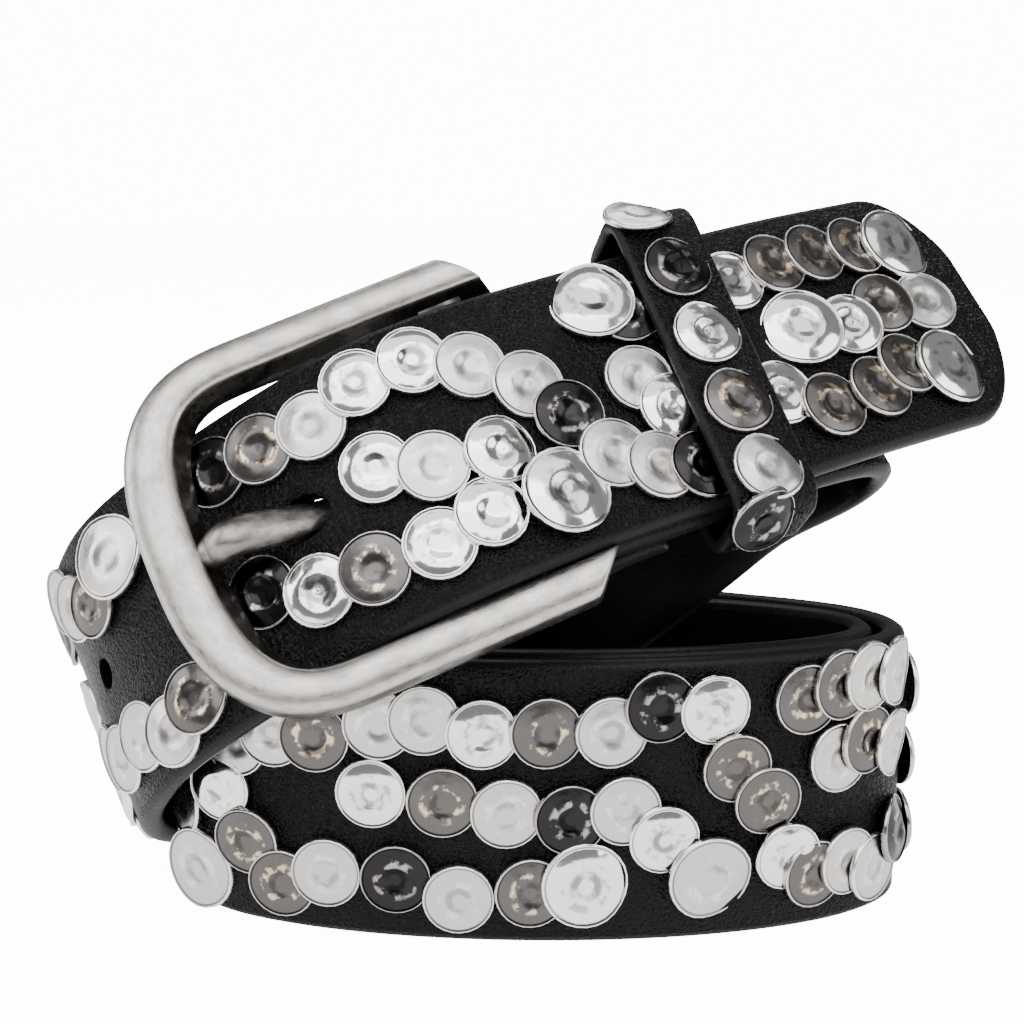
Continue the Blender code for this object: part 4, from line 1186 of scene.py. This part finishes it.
def antique_silver(name, map_name, wear):
    """Cast silver, darker on its sides and back by painted shade, and by dark patina on its inner wall, in
    patches and in its pits.
    """
    material = plain_material(name, (0.66, 0.63, 0.60), 0.3)
    tree = material.node_tree
    place = add_node(tree, "ShaderNodeUVMap", uv_map=map_name).outputs[0]
    surface = add_node(tree, "ShaderNodeGroup", {"Place": place}, node_tree=wear).outputs
    spread = mapped(tree, surface["Patch"], 0.44, 0.74, to_high=0.55)
    # Painted shade and patina from the mesh, plus dark patina patches, then pits.
    sides = worked(tree, "MULTIPLY_ADD", attribute(tree, "shade_and_patina"), 0.85, spread)
    shade_patina_and_pits = worked(tree, "MULTIPLY_ADD", surface["Pits"], 0.35, sides, clamp=True)
    height = worked(tree, "SUBTRACT", surface["Brushed"], surface["Pits"])
    fill(tree, tree.nodes["Principled BSDF"], {
        "Metallic": 1.0,
        "Base Color": mixed(tree, shade_patina_and_pits, (0.56, 0.53, 0.50, 1), (0.085, 0.078, 0.070, 1)),
        "Roughness": mapped(tree, surface["Brushed"], 0.3, 0.7, 0.26, 0.44),
        "Normal": bumped(tree, height, 0.16, 0.00006),
    })
    return material


silver_wear = worn_silver()
buckle = make_frame()
add_bar_and_lugs(buckle)
buckle.data.materials.append(
    antique_silver("antique_frame_silver", "buckle_frame_silver_map", silver_wear),
)
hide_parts("buckle_frame")
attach(buckle, "root")


# The prong is a round tapered pin of the same silver. Its eye turns on the cross bar; it passes
# up through the strap's hole and its end lies in a groove in the bow.
PRONG_WIDTH = 0.0050
PRONG_THICKNESS = 0.0036
PRONG_EYE_RADIUS = 0.0041
PRONG_SIDES = 28
PRONG_ROUND_ROWS = 5
PRONG_BURIED_ROWS = 22
EYE_CHAMFER = 0.0004


def in_loop_plane(x, z):
    place = FRAME_AXES.at(x, 0, z) - BELT_ORIGIN - LOOP_START
    return float(place @ LOOP_ALONG), float(place @ LOOP_BACK)


def make_prong():
    stations = [
        (BAR[0] - 0.0029, BAR[1] - 0.0022), (BAR[0] * 0.62, BAR[1] * 0.60),
        (BAR[0] * 0.34 - 0.0016, BAR[1] * 0.42), (BAR[0] * 0.15 - 0.0022, BAR[1] * 0.26), (-0.0022, 0.0),
        (-0.0056, -0.0034), (-0.0096, -0.0054), in_loop_plane(0.0062, 0.0010),
        in_loop_plane(0.0040, 0.0011),
    ]
    places = np.array([loop_point(*row, PRONG_SHIFT) for row in stations])
    line = natural_spline(places, np.linspace(0, 1, 60))
    directions = unit(np.gradient(line, axis=0))
    angles = np.arange(PRONG_SIDES) * 2 * math.pi / PRONG_SIDES
    # Painted shade on the pin: darker on its two sides and underneath, brighter on top.
    sides = np.abs(np.cos(angles)) ** 3 * 0.75 + 0.5 * (np.sin(angles) < 0)
    girth = angles / (2 * math.pi) * 0.012
    rows, shade_and_patina, uvs = [], [], []
    for i, (place, direction) in enumerate(zip(line, directions)):
        outward = unit(np.cross(direction, LOOP_ACROSS))
        left = min(1.0, (len(line) - 1 - i) / PRONG_ROUND_ROWS)
        size = math.sqrt(1 - (1 - left) ** 2) * 0.9 + 0.1
        wide = size * PRONG_WIDTH / 2 * np.cos(angles)
        deep = size * PRONG_THICKNESS / 2 * np.sin(angles)
        rows.append(place + LOOP_ACROSS * wide[:, None] + outward * deep[:, None])
        # More painted shade where the pin lies under the strap, near its eye.
        under_strap_shade = min(1.0, max(0.0, (PRONG_BURIED_ROWS - i) / 8))
        shade_and_patina.append(np.clip(sides + under_strap_shade * 0.5, 0, 1))
        uvs.append(np.stack([np.full(PRONG_SIDES, i * 0.0006), girth], 1) * 100)
    prong = skin_rows("prong_silver", rows, False, {"shade_and_patina": shade_and_patina}, uvs)
    mesh = opened(prong)
    layer = mesh.verts.layers.float["shade_and_patina"]
    eye = LoopFrame(*BAR, PRONG_SHIFT, FRONT_ANGLE)
    turns = [math.radians(degrees) for degrees in range(0, 360, 12)]
    inner, outer, half = CROSS_BAR_RADIUS + 0.00035, PRONG_EYE_RADIUS, 0.46 * PRONG_WIDTH
    ring = (
        (inner, -half), (outer - EYE_CHAMFER, -half), (outer, -half + EYE_CHAMFER),
        (outer, half - EYE_CHAMFER), (outer - EYE_CHAMFER, half), (inner, half),
    )
    rows = [
        [mesh.verts.new(eye.at(r * math.cos(a), y, r * math.sin(a))) for r, y in ring] for a in turns
    ]
    stitch(mesh, rows + rows[:1])
    for row in rows:
        # Painted shade on the eye, which lies inside the strap's fold.
        for vertex in row:
            vertex[layer] = 0.8
    put_back(mesh, prong)
    return prong


prong = make_prong()
prong.data.materials.append(antique_silver("antique_prong_silver", "prong_silver_map", silver_wear))
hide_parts("prong")
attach(prong, "root")
